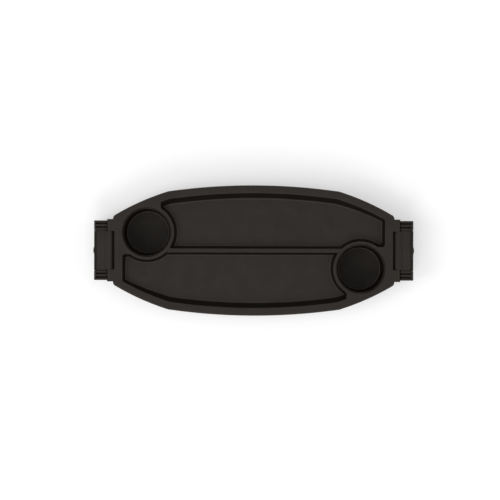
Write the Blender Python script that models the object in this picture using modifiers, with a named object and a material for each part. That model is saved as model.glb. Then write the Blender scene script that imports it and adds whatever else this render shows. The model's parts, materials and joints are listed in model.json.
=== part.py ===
"""Snack tray that spans two side rails: a moulded tray with two screwed-in cup wells, a ribbed hook
over the rail at each end, and a sprung latch lever in the middle of each hook.

The tray lies along X, the rails run along Y, and the cup wells stand on z = 0. The tray looks the
same after half a turn about Z, so each half outline is worked out once and turned.
"""

import math

import bmesh
import bpy
import numpy as np
from mathutils import Matrix

# Clearances and walls
GAP = 0.0003
SWING_GAP = 0.0005
WALL = 0.0025
OVERCUT = 0.005

# Tray outline seen from above, with the corners taken before they are rounded
END_X = 0.247
END_HALF = 0.060
SIDE_Y = 0.1144
SIDE_RADIUS = 1.061
BEND_X = 0.150
ANGLED_RADIUS = 0.440
OUTLINE_FILLET = 0.008

# Tray heights, down from the rim
RIM_Z = 0.075
SKIRT_Z = RIM_Z - 0.018
FLOOR_Z = RIM_Z - 0.020
RIM_BEVEL = 0.0030
RIM_BEVEL_DROP = 0.0022
SKIRT_DRAFT = 0.0006

# Rim, basin walls and the ridge that parts the basin
RIM_WIDTH = 0.0132
END_RIM_WIDTH = 0.0165
SIDE_RUN = 0.0096
END_RUN = 0.0045
COLLAR_RUN = 0.0046
BASIN_FILLET = 0.0045
FLOOR_FILLET = 0.0020
EDGE_EASE = 0.0010
RIDGE_TOP = 0.0070
RIDGE_BASE = 0.0154
RIDGE_DROP = 0.0022

# Cup wells
CUP_X = 0.1878
CUP_Y = 0.0318
CUP_BORE = 0.0427
COLLAR_WIDTH = 0.0054
COLLAR_WALL = 0.0033
COLLAR_Z = FLOOR_Z - 0.005
SHELF_EDGE_X = 0.0243
SHELF_EDGE_Y = 0.0383
CUP_LEDGE_DROP = 0.0070
CUP_MOUTH = 0.0389
CUP_FLOOR_RADIUS = 0.0379
CUP_FLOOR = 0.0026
CUP_RING_DEPTH = 0.0080
CUP_FLANGE_Z = COLLAR_Z - 0.009
CUP_FLANGE = 0.0030
CUP_FLANGE_RADIUS = CUP_BORE + 0.0048
EAR_OFFSET = CUP_FLANGE_RADIUS + 0.0025
EAR_RADIUS = 0.0050
EAR_ANGLES = (30.0, 150.0, 270.0)

# Screws and their bosses
SCREW_RADIUS = 0.00145
SCREW_LENGTH = 0.0100
SCREW_HEAD_RADIUS = 0.0032
SCREW_HEAD = 0.0022
RECESS_WIDTH = 0.0008
RECESS_LENGTH = 0.0034
RECESS_DEPTH = 0.0012
BOSS_RADIUS = 0.0038
BOSS_BORE_SPARE = 0.0008

# Hinge between the tray's lugs and the latch lever
HINGE_X = END_X + 0.0057
KNUCKLE_RADIUS = 0.0048
HINGE_Z = RIM_Z - GAP - KNUCKLE_RADIUS
PIN_RADIUS = 0.0020
LUG_INNER = 0.0338
LUG_OUTER = LUG_INNER + 0.0210
NOTCH_DEPTH = 0.0026
NOTCH_FILLET = 0.0030

# Rail, hook and its rubber pads
RAIL_DIAMETER = 0.0222
PAD = 0.0020
PAD_END_MARGIN = 0.0007
HOOK_END_X = END_X + 0.033
HOOK_HALF = LUG_OUTER - 0.0025
HOOK_LEG = 0.0032
INNER_LEG = 0.0040
CHANNEL_TOP = SKIRT_Z
PAD_FOOT_Z = CHANNEL_TOP - 0.021
HOOK_WEB = 0.0033
HOOK_FOOT_Z = CHANNEL_TOP - 0.027
FLANGE = 0.0037
FLANGE_X = END_X - 0.013
PACK_DROP = 0.0004
GROOVE_WIDTH = 0.0028
GROOVES = 2
GROOVE_FLOOR_Z = RIM_Z - 0.013
HOOK_SCREW_X = FLANGE_X + 0.005
HOOK_SCREW_YS = ((HOOK_HALF - 0.0073) / 3, HOOK_HALF - 0.0073)

# Latch lever
LEVER_HALF = LUG_INNER + 0.0012
LEVER_WALL = 0.0030
LEVER_FOOT_Z = HOOK_FOOT_Z - 0.0025
PLATE = 0.0028
PLATE_DROP = 0.0022
SLOPE_LENGTH = 0.0093
LIP_DROP = 0.0006
LIP_WIDTH = 0.0026
LIP_GROOVE = 0.0016
LIP_GROOVE_DEPTH = 0.0014
CLAW_CLEARANCE = 0.0004
CLAW_ANGLES = (-8.0, -62.0)
CLAW_LEAD = 0.0055
FINGER_HALF = 0.0096
FINGER_REACH = 0.0035
FINGER_Z = LEVER_FOOT_Z + 0.0055
FINGER_HEIGHT = 0.005
STIFFENER = 0.0018
STIFFENER_YS = (0.018, 0.031)

# Torsion spring round the hinge pin
SPRING_WIRE = 0.0008
SPRING_RADIUS = 0.0029
SPRING_PITCH = 0.0014
SPRING_TURNS = 5.75
SPRING_LEG_DOWN = 0.0085
SPRING_LEG_OUT = 0.0090
SPRING_WINDOW_MARGIN = 0.0012
SPRING_STOP = 0.0016

# Most of a short edge that one fillet may take, so that two still leave a straight run
FILLET_SHARE = 0.45

# How finely curves are cut
SIDE_STEPS = 12
ANGLED_STEPS = 6
COLLAR_STEPS = 24
FILLET_STEPS = 3
ROUND_STEPS = 44
BORE_STEPS = 20
SCREW_STEPS = 12
COIL_STEPS = 8

PART_NAME = "snack_tray"
parts = bpy.data.collections.new(PART_NAME)
helpers = bpy.data.collections.new(PART_NAME + "_cutters")

CUP_LEDGE_Z = RIM_Z - CUP_LEDGE_DROP
COLLAR_OUTER = CUP_BORE + COLLAR_WIDTH
HINGE = (HINGE_X, 0.0, HINGE_Z)
CHANNEL_OUTER = HOOK_END_X - HOOK_LEG
CHANNEL_INNER = CHANNEL_OUTER - RAIL_DIAMETER - 2 * (PAD + GAP)
RAIL_X = (CHANNEL_INNER + CHANNEL_OUTER) / 2
RAIL_Z = CHANNEL_TOP - GAP - PAD - RAIL_DIAMETER / 2
PACK_INNER = LEVER_HALF + SWING_GAP
PACK_X = HINGE_X + KNUCKLE_RADIUS + GAP
WEB_TOP = CHANNEL_TOP + HOOK_WEB
COIL_LENGTH = SPRING_TURNS * SPRING_PITCH


def clear_scene():
    for old in list(bpy.data.objects):
        bpy.data.objects.remove(old, do_unlink=True)
    for collection in (parts, helpers):
        bpy.context.scene.collection.children.link(collection)


def material(name, color, roughness, metallic=0.0):
    made = bpy.data.materials.new(name)
    made.use_nodes = True
    shader = made.node_tree.nodes["Principled BSDF"]
    shader.inputs["Base Color"].default_value = (*color, 1.0)
    shader.inputs["Roughness"].default_value = roughness
    shader.inputs["Metallic"].default_value = metallic
    made.diffuse_color = (*color, 1.0)
    return made


# Outlines: an edge is a straight line or an arc, and it knows how far inside it a point lies


def line_edge(point, inward):
    return {"point": np.array(point), "inward": np.array(inward)}


def arc_edge(centre, radius, side=1):
    """side is 1 where the outline's region lies inside the circle, and -1 where it lies outside."""
    return {"centre": np.array(centre), "radius": radius, "side": side}


def inset_edge(edge, distance):
    if "inward" in edge:
        return line_edge(edge["point"] + edge["inward"] * distance, edge["inward"])
    return arc_edge(edge["centre"], edge["radius"] - edge["side"] * distance, edge["side"])


def turned_edge(edge):
    """The same edge after half a turn about the origin."""
    if "inward" in edge:
        return line_edge(-edge["point"], -edge["inward"])
    return arc_edge(-edge["centre"], edge["radius"], edge["side"])


def depth_inside(edge, point):
    """Distance of a point inside the edge, and the direction in which it grows."""
    if "inward" in edge:
        return float((point - edge["point"]) @ edge["inward"]), edge["inward"]
    away = point - edge["centre"]
    length = float(np.hypot(*away))
    return edge["side"] * (edge["radius"] - length), -edge["side"] * away / length


def corner_point(first, second, near, depth=0.0):
    """The point at the given depth inside both edges, by Newton's method from a point near it."""
    point = np.array(near, dtype=float)
    for _ in range(12):
        depths, slopes = zip(*(depth_inside(edge, point) for edge in (first, second)))
        point = point + np.linalg.solve(np.array(slopes), depth - np.array(depths))
    return point


def arc_through(start, end, radius):
    """The arc from start to end, counter-clockwise, that bulges to the right of that way."""
    start, end = np.array(start), np.array(end)
    chord = end - start
    length = np.hypot(*chord)
    left = np.array((-chord[1], chord[0])) / length
    return arc_edge((start + end) / 2 + left * math.sqrt(radius**2 - length**2 / 4), radius)


def foot_on(edge, point):
    depth, slope = depth_inside(edge, point)
    return point - slope * depth


def turn(centre, start, end, steps, clockwise=False):
    """Points on a circle from start to end, both included."""
    first = math.atan2(*(start - centre)[::-1])
    sweep = (math.atan2(*(end - centre)[::-1]) - first) % math.tau
    if clockwise:
        sweep -= math.tau
    angles = first + sweep * np.linspace(0.0, 1.0, steps + 1)
    radius = np.hypot(*(start - centre))
    return centre + radius * np.column_stack((np.cos(angles), np.sin(angles)))


def fitting_fillets(edges, nears, fillet):
    """The fillet at each corner, limited so that two of them never meet on a short edge."""
    corners = [corner_point(*pair, near) for pair, near in zip(zip(edges, edges[1:]), nears)]
    reach = [fillet]
    for k in range(1, len(corners) - 1):
        slopes = [depth_inside(edge, corners[k])[1] for edge in edges[k : k + 2]]
        half_turn = math.acos(max(-1.0, min(1.0, float(slopes[0] @ slopes[1])))) / 2
        room = min(np.hypot(*(corners[k] - corners[k + step])) for step in (-1, 1))
        reach.append(min(fillet, FILLET_SHARE * room / max(math.tan(half_turn), GAP)))
    reach[0] = reach[-1]
    return reach


def rounded_half(edges, nears, steps, fillet):
    """Half of an outline, counter-clockwise; its other half is the same after half a turn."""
    nears = [-np.array(nears[-1])] + [np.array(near) for near in nears] + [-np.array(nears[0])]
    around = [turned_edge(edges[-1])] + edges + [turned_edge(edges[0]), turned_edge(edges[1])]
    fillets = fitting_fillets(around, nears, fillet)
    corners = zip(around, around[1:], nears, fillets)
    centres = [corner_point(a, b, near, depth) for a, b, near, depth in corners]
    points = []
    for k, edge in enumerate(edges):
        start, end = foot_on(edge, centres[k]), foot_on(edge, centres[k + 1])
        if "inward" in edge:
            run = start + (end - start) * np.linspace(0.0, 1.0, steps[k] + 1)[:, None]
        else:
            run = turn(edge["centre"], start, end, steps[k], edge["side"] < 0)
        bend = turn(centres[k + 1], end, foot_on(around[k + 2], centres[k + 1]), FILLET_STEPS)
        points += [run[1:-1], bend]
    return np.vstack(points)


def rounded_outline(edges, nears, steps, fillet):
    half = rounded_half(edges, nears, steps, fillet)
    return np.vstack((half, -half))


def side_edge():
    return arc_edge((0.0, SIDE_Y - SIDE_RADIUS), SIDE_RADIUS)


def angled_edges():
    """The upper left and lower left angled sides, through the outline's sharp corners."""
    bend_y = SIDE_Y - SIDE_RADIUS + math.sqrt(SIDE_RADIUS**2 - BEND_X**2)
    upper = arc_through((-BEND_X, bend_y), (-END_X, END_HALF), ANGLED_RADIUS)
    lower = arc_through((-END_X, -END_HALF), (-BEND_X, -bend_y), ANGLED_RADIUS)
    return upper, lower


def tray_outline(inset):
    upper, lower = angled_edges()
    end = line_edge((-END_X, 0.0), (1.0, 0.0))
    edges = [inset_edge(edge, inset) for edge in (side_edge(), upper, end, lower)]
    nears = [(-BEND_X, SIDE_Y), (-END_X, END_HALF), (-END_X, -END_HALF), (-BEND_X, -SIDE_Y)]
    steps = (SIDE_STEPS, ANGLED_STEPS, 1, ANGLED_STEPS)
    return rounded_outline(edges, nears, steps, max(OUTLINE_FILLET - inset, GAP))


def basin_outline(share, outward=0.0):
    """The basin's edge at a share of the way from the rim, 0, to the floor, 1, and moved outward.

    It runs along the long side, the upper left angled side, the edge of the level shelf beside the
    cup, the collar, the shelf's other edge, the end and the lower left angled side.
    """
    side_in = RIM_WIDTH + SIDE_RUN * share
    end_in = END_RIM_WIDTH + END_RUN * share
    angled_in = RIM_WIDTH + END_RUN * share
    side = inset_edge(side_edge(), side_in)
    end = line_edge((-END_X + end_in, 0.0), (1.0, 0.0))
    upper, lower = angled_edges()
    low_bend = corner_point(inset_edge(lower, side_in), turned_edge(side), (-BEND_X, -SIDE_Y))
    low_end = corner_point(inset_edge(lower, angled_in), end, (-END_X, -END_HALF))
    high_bend = low_bend * (1.0, -1.0)
    high_end = low_end * (1.0, -1.0)
    shelf_x = -CUP_X + SHELF_EDGE_X
    shelf_y = CUP_Y - SHELF_EDGE_Y
    collar = COLLAR_OUTER + COLLAR_RUN * share
    edges = [
        side,
        arc_through(high_bend, high_end, ANGLED_RADIUS),
        line_edge((shelf_x + COLLAR_RUN * share, 0.0), (1.0, 0.0)),
        arc_edge((-CUP_X, CUP_Y), collar, -1),
        line_edge((0.0, shelf_y - COLLAR_RUN * share), (0.0, -1.0)),
        end,
        arc_through(low_end, low_bend, ANGLED_RADIUS),
    ]
    edges = [inset_edge(edge, -outward) for edge in edges]
    nears = [
        high_bend,
        (shelf_x, high_bend[1]),
        (shelf_x, CUP_Y + math.sqrt(collar**2 - SHELF_EDGE_X**2)),
        (-CUP_X - math.sqrt(collar**2 - SHELF_EDGE_Y**2), shelf_y),
        (-END_X + end_in, shelf_y),
        low_end,
        low_bend,
    ]
    steps = (SIDE_STEPS, 2, 1, COLLAR_STEPS, 1, 1, ANGLED_STEPS)
    fillet = BASIN_FILLET + (FLOOR_FILLET - BASIN_FILLET) * share + outward
    return rounded_outline(edges, nears, steps, fillet)


# Forms


def as_part(obj, name, finish):
    obj.name = name
    obj.data.name = name
    obj.hide_render = False
    obj.display_type = "TEXTURED"
    obj.data.materials.clear()
    obj.data.materials.append(finish)
    for collection in list(obj.users_collection):
        collection.objects.unlink(obj)
    parts.objects.link(obj)
    return obj


def as_helper(obj, name):
    obj.name = name
    obj.hide_render = True
    obj.display_type = "WIRE"
    for collection in list(obj.users_collection):
        collection.objects.unlink(obj)
    helpers.objects.link(obj)
    return obj


def box(name, low, high):
    low, high = np.array(low), np.array(high)
    bpy.ops.mesh.primitive_cube_add(size=1.0, location=(low + high) / 2)
    made = bpy.context.object
    made.scale = np.abs(high - low)
    bpy.ops.object.transform_apply(location=False, rotation=False, scale=True)
    return as_helper(made, name)


def cylinder(name, radius, base, length, axis="Z", steps=BORE_STEPS):
    """A cylinder that starts at base and runs the given length along +Z or +Y."""
    way = np.array((0.0, 1.0, 0.0) if axis == "Y" else (0.0, 0.0, 1.0))
    tilt = (math.pi / 2, 0.0, 0.0) if axis == "Y" else (0.0, 0.0, 0.0)
    bpy.ops.mesh.primitive_cylinder_add(
        vertices=steps,
        radius=radius,
        depth=length,
        location=np.array(base) + way * length / 2,
        rotation=tilt,
    )
    return as_helper(bpy.context.object, name)


def loft(name, sections):
    """A closed body through outlines with equal counts of points, each given with its height."""
    grid = bmesh.new()
    rings = []
    for height, outline in sections:
        rings.append([grid.verts.new((x, y, height)) for x, y in outline])
    count = len(rings[0])
    for low, high in zip(rings, rings[1:]):
        for k in range(count):
            after = (k + 1) % count
            grid.faces.new((low[k], low[after], high[after], high[k]))
    grid.faces.new(rings[0][::-1])
    grid.faces.new(rings[-1])
    bmesh.ops.recalc_face_normals(grid, faces=grid.faces)
    mesh = bpy.data.meshes.new(name)
    grid.to_mesh(mesh)
    grid.free()
    return as_helper(bpy.data.objects.new(name, mesh), name)


def flat_form(name, outline, thickness, centre, plane):
    """A flat outline given in the plane XY, XZ or YZ, as thick as stated about its centre."""
    curve = bpy.data.curves.new(name, "CURVE")
    curve.dimensions = "2D"
    curve.fill_mode = "BOTH"
    curve.extrude = thickness / 2
    spline = curve.splines.new("POLY")
    spline.points.add(len(outline) - 1)
    for point, (u, v) in zip(spline.points, outline):
        point.co = (u, v, 0.0, 1.0)
    spline.use_cyclic_u = True
    made = bpy.data.objects.new(name, curve)
    upright = Matrix.Rotation(math.pi / 2, 4, "X")
    turns = {
        "XY": Matrix.Identity(4),
        "XZ": upright,
        "YZ": Matrix.Rotation(math.pi / 2, 4, "Z") @ upright,
    }
    made.matrix_world = Matrix.Translation(centre) @ turns[plane]
    return as_helper(meshed(made), name)


def meshed(obj):
    """The evaluated object as a plain mesh object in the same place, with its seams joined."""
    if not obj.users_collection:
        helpers.objects.link(obj)
    bpy.context.view_layer.update()
    evaluated = obj.evaluated_get(bpy.context.evaluated_depsgraph_get())
    mesh = bpy.data.meshes.new_from_object(evaluated)
    grid = bmesh.new()
    grid.from_mesh(mesh)
    bmesh.ops.remove_doubles(grid, verts=grid.verts, dist=1e-6)
    bmesh.ops.recalc_face_normals(grid, faces=grid.faces)
    grid.to_mesh(mesh)
    grid.free()
    made = bpy.data.objects.new(obj.name, mesh)
    made.matrix_world = obj.matrix_world.copy()
    helpers.objects.link(made)
    bpy.data.objects.remove(obj, do_unlink=True)
    return made


def turned_form(name, profile, steps=ROUND_STEPS):
    """A profile of radius and height, listed down its outer side, turned about Z."""
    mesh = bpy.data.meshes.new(name)
    edges = [(k, k + 1) for k in range(len(profile) - 1)]
    mesh.from_pydata([(radius, 0.0, height) for radius, height in profile], edges, [])
    made = bpy.data.objects.new(name, mesh)
    lathe = made.modifiers.new("Turn", "SCREW")
    lathe.axis = "Z"
    lathe.steps = steps
    lathe.render_steps = steps
    lathe.use_merge_vertices = True
    lathe.merge_threshold = 1e-5
    return as_helper(meshed(made), name)


def combine(target, operands, operation):
    for operand in operands:
        step = target.modifiers.new(operand.name, "BOOLEAN")
        step.operation = operation
        step.solver = "EXACT"
        step.object = operand


def add(target, *operands):
    combine(target, operands, "UNION")


def cut(target, *operands):
    combine(target, operands, "DIFFERENCE")


def moved_origin(obj, origin):
    """Puts the object's origin on its joint's axis and leaves its shape where it is."""
    obj.data.transform(Matrix.Translation(origin).inverted() @ obj.matrix_world)
    obj.matrix_world = Matrix.Translation(origin)


def turned_copy(obj, name):
    """A second object with the same mesh, half a turn about the tray's centre away."""
    twin = bpy.data.objects.new(name, obj.data)
    parts.objects.link(twin)
    twin.matrix_world = Matrix.Rotation(math.pi, 4, "Z") @ obj.matrix_world
    return twin


def soften(obj, angle=math.radians(35.0)):
    obj.data.shade_smooth()
    obj.data.set_sharp_from_angle(angle=angle)


# Where screws stand


def cup_screw_places(side):
    """Screw centres round one cup; side is -1 for the left cup and 1 for the right one."""
    places = []
    for degrees in EAR_ANGLES:
        angle = math.radians(degrees)
        x = -CUP_X + EAR_OFFSET * math.cos(angle)
        y = CUP_Y + EAR_OFFSET * math.sin(angle)
        places.append((-side * x, -side * y))
    return places


def hook_screw_places(side):
    ys = [-y for y in reversed(HOOK_SCREW_YS)] + list(HOOK_SCREW_YS)
    return [(side * HOOK_SCREW_X, side * y) for y in ys]


def screw_hole(name, place, low, thickness):
    """A through hole for a screw in a flange that starts at the height low."""
    base = (*place, low - OVERCUT)
    length = thickness + 2 * OVERCUT
    return cylinder(name, SCREW_RADIUS + GAP, base, length, steps=SCREW_STEPS)


# Tray


def rim_plate():
    """The rim and its skirt: a plate with an eased outer edge, hollowed from below."""
    plate = loft(
        "tray_top",
        [
            (SKIRT_Z, tray_outline(SKIRT_DRAFT)),
            (RIM_Z - RIM_BEVEL_DROP, tray_outline(0.0)),
            (RIM_Z - RIM_BEVEL_DROP / 4, tray_outline(RIM_BEVEL / 3)),
            (RIM_Z, tray_outline(RIM_BEVEL)),
        ],
    )
    hollow = tray_outline(SKIRT_DRAFT + WALL)
    cut(plate, loft("underside_hollow", [(SKIRT_Z - OVERCUT, hollow), (RIM_Z - WALL, hollow)]))
    return plate


def basin_shell():
    return loft(
        "basin_shell",
        [
            (FLOOR_Z - WALL, basin_outline(1.0, WALL)),
            (RIM_Z - WALL / 2, basin_outline(0.0, WALL)),
        ],
    )


def basin_space():
    """What the basin leaves empty, parted by the ridge between the two collars."""
    space = loft(
        "basin_space",
        [
            (FLOOR_Z, basin_outline(1.0)),
            (RIM_Z - EDGE_EASE, basin_outline(0.0)),
            (RIM_Z, basin_outline(0.0, EDGE_EASE)),
            (RIM_Z + OVERCUT, basin_outline(0.0, EDGE_EASE)),
        ],
    )
    base, top = RIDGE_BASE / 2, RIDGE_TOP / 2
    ridge_z = RIM_Z - RIDGE_DROP
    foot_z = FLOOR_Z - WALL
    foot = base + (base - top) * WALL / (ridge_z - FLOOR_Z)
    section = [(-foot, foot_z), (foot, foot_z), (top, ridge_z), (-top, ridge_z)]
    cut(space, flat_form("ridge", section, 2 * CUP_X, (0.0, 0.0, 0.0), "YZ"))
    return space


def ridge_core():
    """The groove under the ridge, which keeps its walls as thin as the floor."""
    base, top = RIDGE_BASE / 2 - WALL, RIDGE_TOP / 2 - WALL / 2
    reach = math.sqrt((COLLAR_OUTER + COLLAR_RUN) ** 2 - (CUP_Y - base) ** 2)
    high = RIM_Z - RIDGE_DROP - WALL
    low = FLOOR_Z - WALL - OVERCUT
    section = [(-base, low), (base, low), (base, FLOOR_Z - WALL), (top, high)]
    section += [(-top, high), (-base, FLOOR_Z - WALL)]
    return flat_form("ridge_core", section, 2 * (CUP_X - reach - WALL), (0.0, 0.0, 0.0), "YZ")


def collar(side):
    base = (side * CUP_X, -side * CUP_Y, COLLAR_Z)
    return cylinder("collar", CUP_BORE + COLLAR_WALL, base, RIM_Z - WALL / 2 - COLLAR_Z,
                    steps=ROUND_STEPS)


def cup_bore(side):
    """The hole through the collar, opened at the top by the same ease as the basin's edge."""
    low = COLLAR_Z - OVERCUT
    profile = [
        (0.0, RIM_Z + OVERCUT),
        (CUP_BORE + EDGE_EASE, RIM_Z + OVERCUT),
        (CUP_BORE + EDGE_EASE, RIM_Z),
        (CUP_BORE, RIM_Z - EDGE_EASE),
        (CUP_BORE, low),
        (0.0, low),
    ]
    bore = turned_form("cup_bore", profile)
    bore.location = (side * CUP_X, -side * CUP_Y, 0.0)
    return bore


def boss(place, low, high):
    return cylinder("boss", BOSS_RADIUS, (*place, low), high - low, steps=SCREW_STEPS)


def boss_bore(place, low):
    """A blind hole for the screw, from below the boss to just past the screw's tip."""
    length = SCREW_LENGTH + BOSS_BORE_SPARE
    return cylinder("boss_bore", SCREW_RADIUS + GAP, (*place, low), length, steps=SCREW_STEPS)


def lug_forms(side):
    """The two lugs that hold one hinge pin, each a block with a round end about the pin."""
    made = []
    for low in (-LUG_OUTER, LUG_INNER):
        high = low + LUG_OUTER - LUG_INNER
        corner_a = (side * (END_X - RIM_BEVEL), low, HINGE_Z - KNUCKLE_RADIUS)
        corner_b = (side * HINGE_X, high, HINGE_Z + KNUCKLE_RADIUS)
        made.append(box("lug", np.minimum(corner_a, corner_b), np.maximum(corner_a, corner_b)))
        base = (side * HINGE_X, low, HINGE_Z)
        made.append(cylinder("lug_end", KNUCKLE_RADIUS, base, high - low, "Y"))
    return made


def notch_outline():
    """The recess for the lever's knuckle at the right end, with rounded inner corners."""
    inner = END_X - NOTCH_DEPTH
    outer = END_X + OVERCUT
    quarter = np.linspace(0.0, math.pi / 2, FILLET_STEPS + 1)
    low = [
        (
            inner + NOTCH_FILLET * (1 - math.sin(angle)),
            -LUG_INNER + NOTCH_FILLET * (1 - math.cos(angle)),
        )
        for angle in quarter
    ]
    high = [(x, -y) for x, y in low]
    return [(outer, -LUG_INNER), (outer, LUG_INNER), *high, *reversed(low)]


def notch_wall(side, roof):
    """The skirt's wall behind the notch, from the skirt's foot up into the rim."""
    inner = END_X - NOTCH_DEPTH - WALL
    half = LUG_INNER + WALL
    xs = sorted((side * inner, side * (END_X - WALL / 2)))
    return box("notch_wall", (xs[0], -half, SKIRT_Z), (xs[1], half, roof))


def tray_top(finish):
    tray = rim_plate()
    add(tray, basin_shell())
    roof = RIM_Z - WALL / 2
    for side in (-1, 1):
        add(tray, collar(side), notch_wall(side, roof), *lug_forms(side))
        for place in hook_screw_places(side):
            add(tray, boss(place, SKIRT_Z, roof))
        for place, degrees in zip(cup_screw_places(side), EAR_ANGLES):
            under_rim = 90.0 < degrees < 180.0
            top = roof if under_rim else FLOOR_Z - WALL / 2
            add(tray, boss(place, CUP_FLANGE_Z + CUP_FLANGE + GAP, top))
    cut(tray, basin_space(), ridge_core())
    for side in (-1, 1):
        cut(tray, cup_bore(side))
        notch = [(side * x, y) for x, y in notch_outline()]
        span = RIM_Z - SKIRT_Z + 2 * OVERCUT
        cut(tray, flat_form("notch", notch, span, (0.0, 0.0, (RIM_Z + SKIRT_Z) / 2), "XY"))
        base = (side * HINGE_X, -LUG_OUTER - OVERCUT, HINGE_Z)
        cut(tray, cylinder("pin_bore", PIN_RADIUS + GAP, base, 2 * (LUG_OUTER + OVERCUT), "Y"))
        for place in hook_screw_places(side):
            cut(tray, boss_bore(place, SKIRT_Z - FLANGE - 2 * GAP))
        for place in cup_screw_places(side):
            cut(tray, boss_bore(place, CUP_FLANGE_Z - GAP))
    tray = as_part(meshed(tray), "tray_top", finish)
    soften(tray)
    return tray


# Cup wells


def cup_well(finish):
    """The right cup well, hung in the collar from below by a flange with three screw ears."""
    ring = CUP_BORE - GAP
    ring_foot = CUP_LEDGE_Z - CUP_RING_DEPTH
    base = CUP_FLOOR_RADIUS + WALL
    mouth = CUP_MOUTH + WALL
    flange_top = CUP_FLANGE_Z + CUP_FLANGE
    ease = EDGE_EASE
    profile = [
        (0.0, CUP_FLOOR),
        (CUP_FLOOR_RADIUS - ease, CUP_FLOOR),
        (CUP_FLOOR_RADIUS, CUP_FLOOR + ease),
        (CUP_MOUTH, CUP_LEDGE_Z - ease / 2),
        (CUP_MOUTH + ease / 2, CUP_LEDGE_Z),
        (ring - ease / 2, CUP_LEDGE_Z),
        (ring, CUP_LEDGE_Z - ease / 2),
        (ring, ring_foot),
        (mouth, ring_foot - ease),
        (mouth, flange_top),
        (CUP_FLANGE_RADIUS, flange_top),
        (CUP_FLANGE_RADIUS, CUP_FLANGE_Z),
        (mouth, CUP_FLANGE_Z),
        (base, 2 * ease),
        (base - ease, 0.0),
        (0.0, 0.0),
    ]
    cup = turned_form("right_cup_well", profile)
    cup.location = (CUP_X, -CUP_Y, 0.0)
    for place in cup_screw_places(1):
        base = (*place, CUP_FLANGE_Z)
        add(cup, cylinder("ear", EAR_RADIUS, base, CUP_FLANGE, steps=SCREW_STEPS))
    for place in cup_screw_places(1):
        cut(cup, screw_hole("ear_hole", place, CUP_FLANGE_Z, CUP_FLANGE))
    cup = as_part(meshed(cup), "right_cup_well", finish)
    soften(cup)
    return cup


# Rail hook


def hook_section():
    """The hook from the side, without its rib packs: screw flange, inner leg and rail seat."""
    flange_top = SKIRT_Z - GAP
    flange_low = flange_top - FLANGE
    leg_back = CHANNEL_INNER - INNER_LEG
    step_x = END_X + GAP
    web_end = HOOK_END_X - LEVER_WALL - SWING_GAP
    return [
        (FLANGE_X, flange_low),
        (leg_back, flange_low),
        (leg_back, HOOK_FOOT_Z),
        (CHANNEL_INNER, HOOK_FOOT_Z),
        (CHANNEL_INNER, CHANNEL_TOP),
        (web_end, CHANNEL_TOP),
        (web_end, WEB_TOP),
        (step_x, WEB_TOP),
        (step_x, flange_top),
        (FLANGE_X, flange_top),
    ]


def rail_hook(finish):
    """The right hook: a saddle over the rail with a pack of ribs on each side of the lever."""
    hook = flat_form("right_rail_hook", hook_section(), 2 * HOOK_HALF, (0.0, 0.0, 0.0), "XZ")
    pack_top = RIM_Z - PACK_DROP
    pitch = (HOOK_HALF - PACK_INNER + GROOVE_WIDTH) / (GROOVES + 1)
    for face in (-1, 1):
        near, far = face * PACK_INNER, face * HOOK_HALF
        low_y, high_y = min(near, far), max(near, far)
        middle_z = (CHANNEL_TOP + WEB_TOP) / 2
        add(hook, box("pack", (PACK_X, low_y, middle_z), (HOOK_END_X, high_y, pack_top)))
        leg = ((CHANNEL_OUTER, low_y, HOOK_FOOT_Z), (HOOK_END_X, high_y, pack_top - EDGE_EASE))
        add(hook, box("outer_leg", *leg))
    for face in (-1, 1):
        for k in range(GROOVES):
            middle = face * (PACK_INNER + (k + 1) * pitch - GROOVE_WIDTH / 2)
            low = (PACK_X - OVERCUT, middle - GROOVE_WIDTH / 2, GROOVE_FLOOR_Z)
            high = (CHANNEL_OUTER, middle + GROOVE_WIDTH / 2, RIM_Z + OVERCUT)
            cut(hook, box("groove", low, high))
    for place in hook_screw_places(1):
        cut(hook, screw_hole("flange_hole", place, SKIRT_Z - GAP - FLANGE, FLANGE))
    add(hook, spring_stop())
    hook = as_part(meshed(hook), "right_rail_hook", finish)
    soften(hook)
    return hook


def spring_stop():
    """The post on the rail seat that the spring's lower leg bears against."""
    face_x = HINGE_X + SPRING_RADIUS + SPRING_WIRE / 2 + GAP
    y = -COIL_LENGTH / 2
    low = (face_x, y - SPRING_STOP, WEB_TOP - HOOK_WEB / 2)
    high = (face_x + SPRING_STOP, y + SPRING_STOP, HINGE_Z - SPRING_RADIUS - SPRING_WIRE)
    return box("spring_stop", low, high)


def rail_pad(name, face, finish):
    """A rubber liner, an upside-down U, in the hook's channel under one rib pack."""
    left, right = CHANNEL_INNER + GAP, CHANNEL_OUTER - GAP
    top = CHANNEL_TOP - GAP
    section = [
        (left, PAD_FOOT_Z),
        (left + PAD, PAD_FOOT_Z),
        (left + PAD, top - PAD),
        (right - PAD, top - PAD),
        (right - PAD, PAD_FOOT_Z),
        (right, PAD_FOOT_Z),
        (right, top),
        (left, top),
    ]
    low, high = PACK_INNER + PAD_END_MARGIN, HOOK_HALF - PAD_END_MARGIN
    middle = (0.0, face * (low + high) / 2, 0.0)
    return as_part(flat_form(name, section, high - low, middle, "XZ"), name, finish)


# Latch lever


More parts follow.
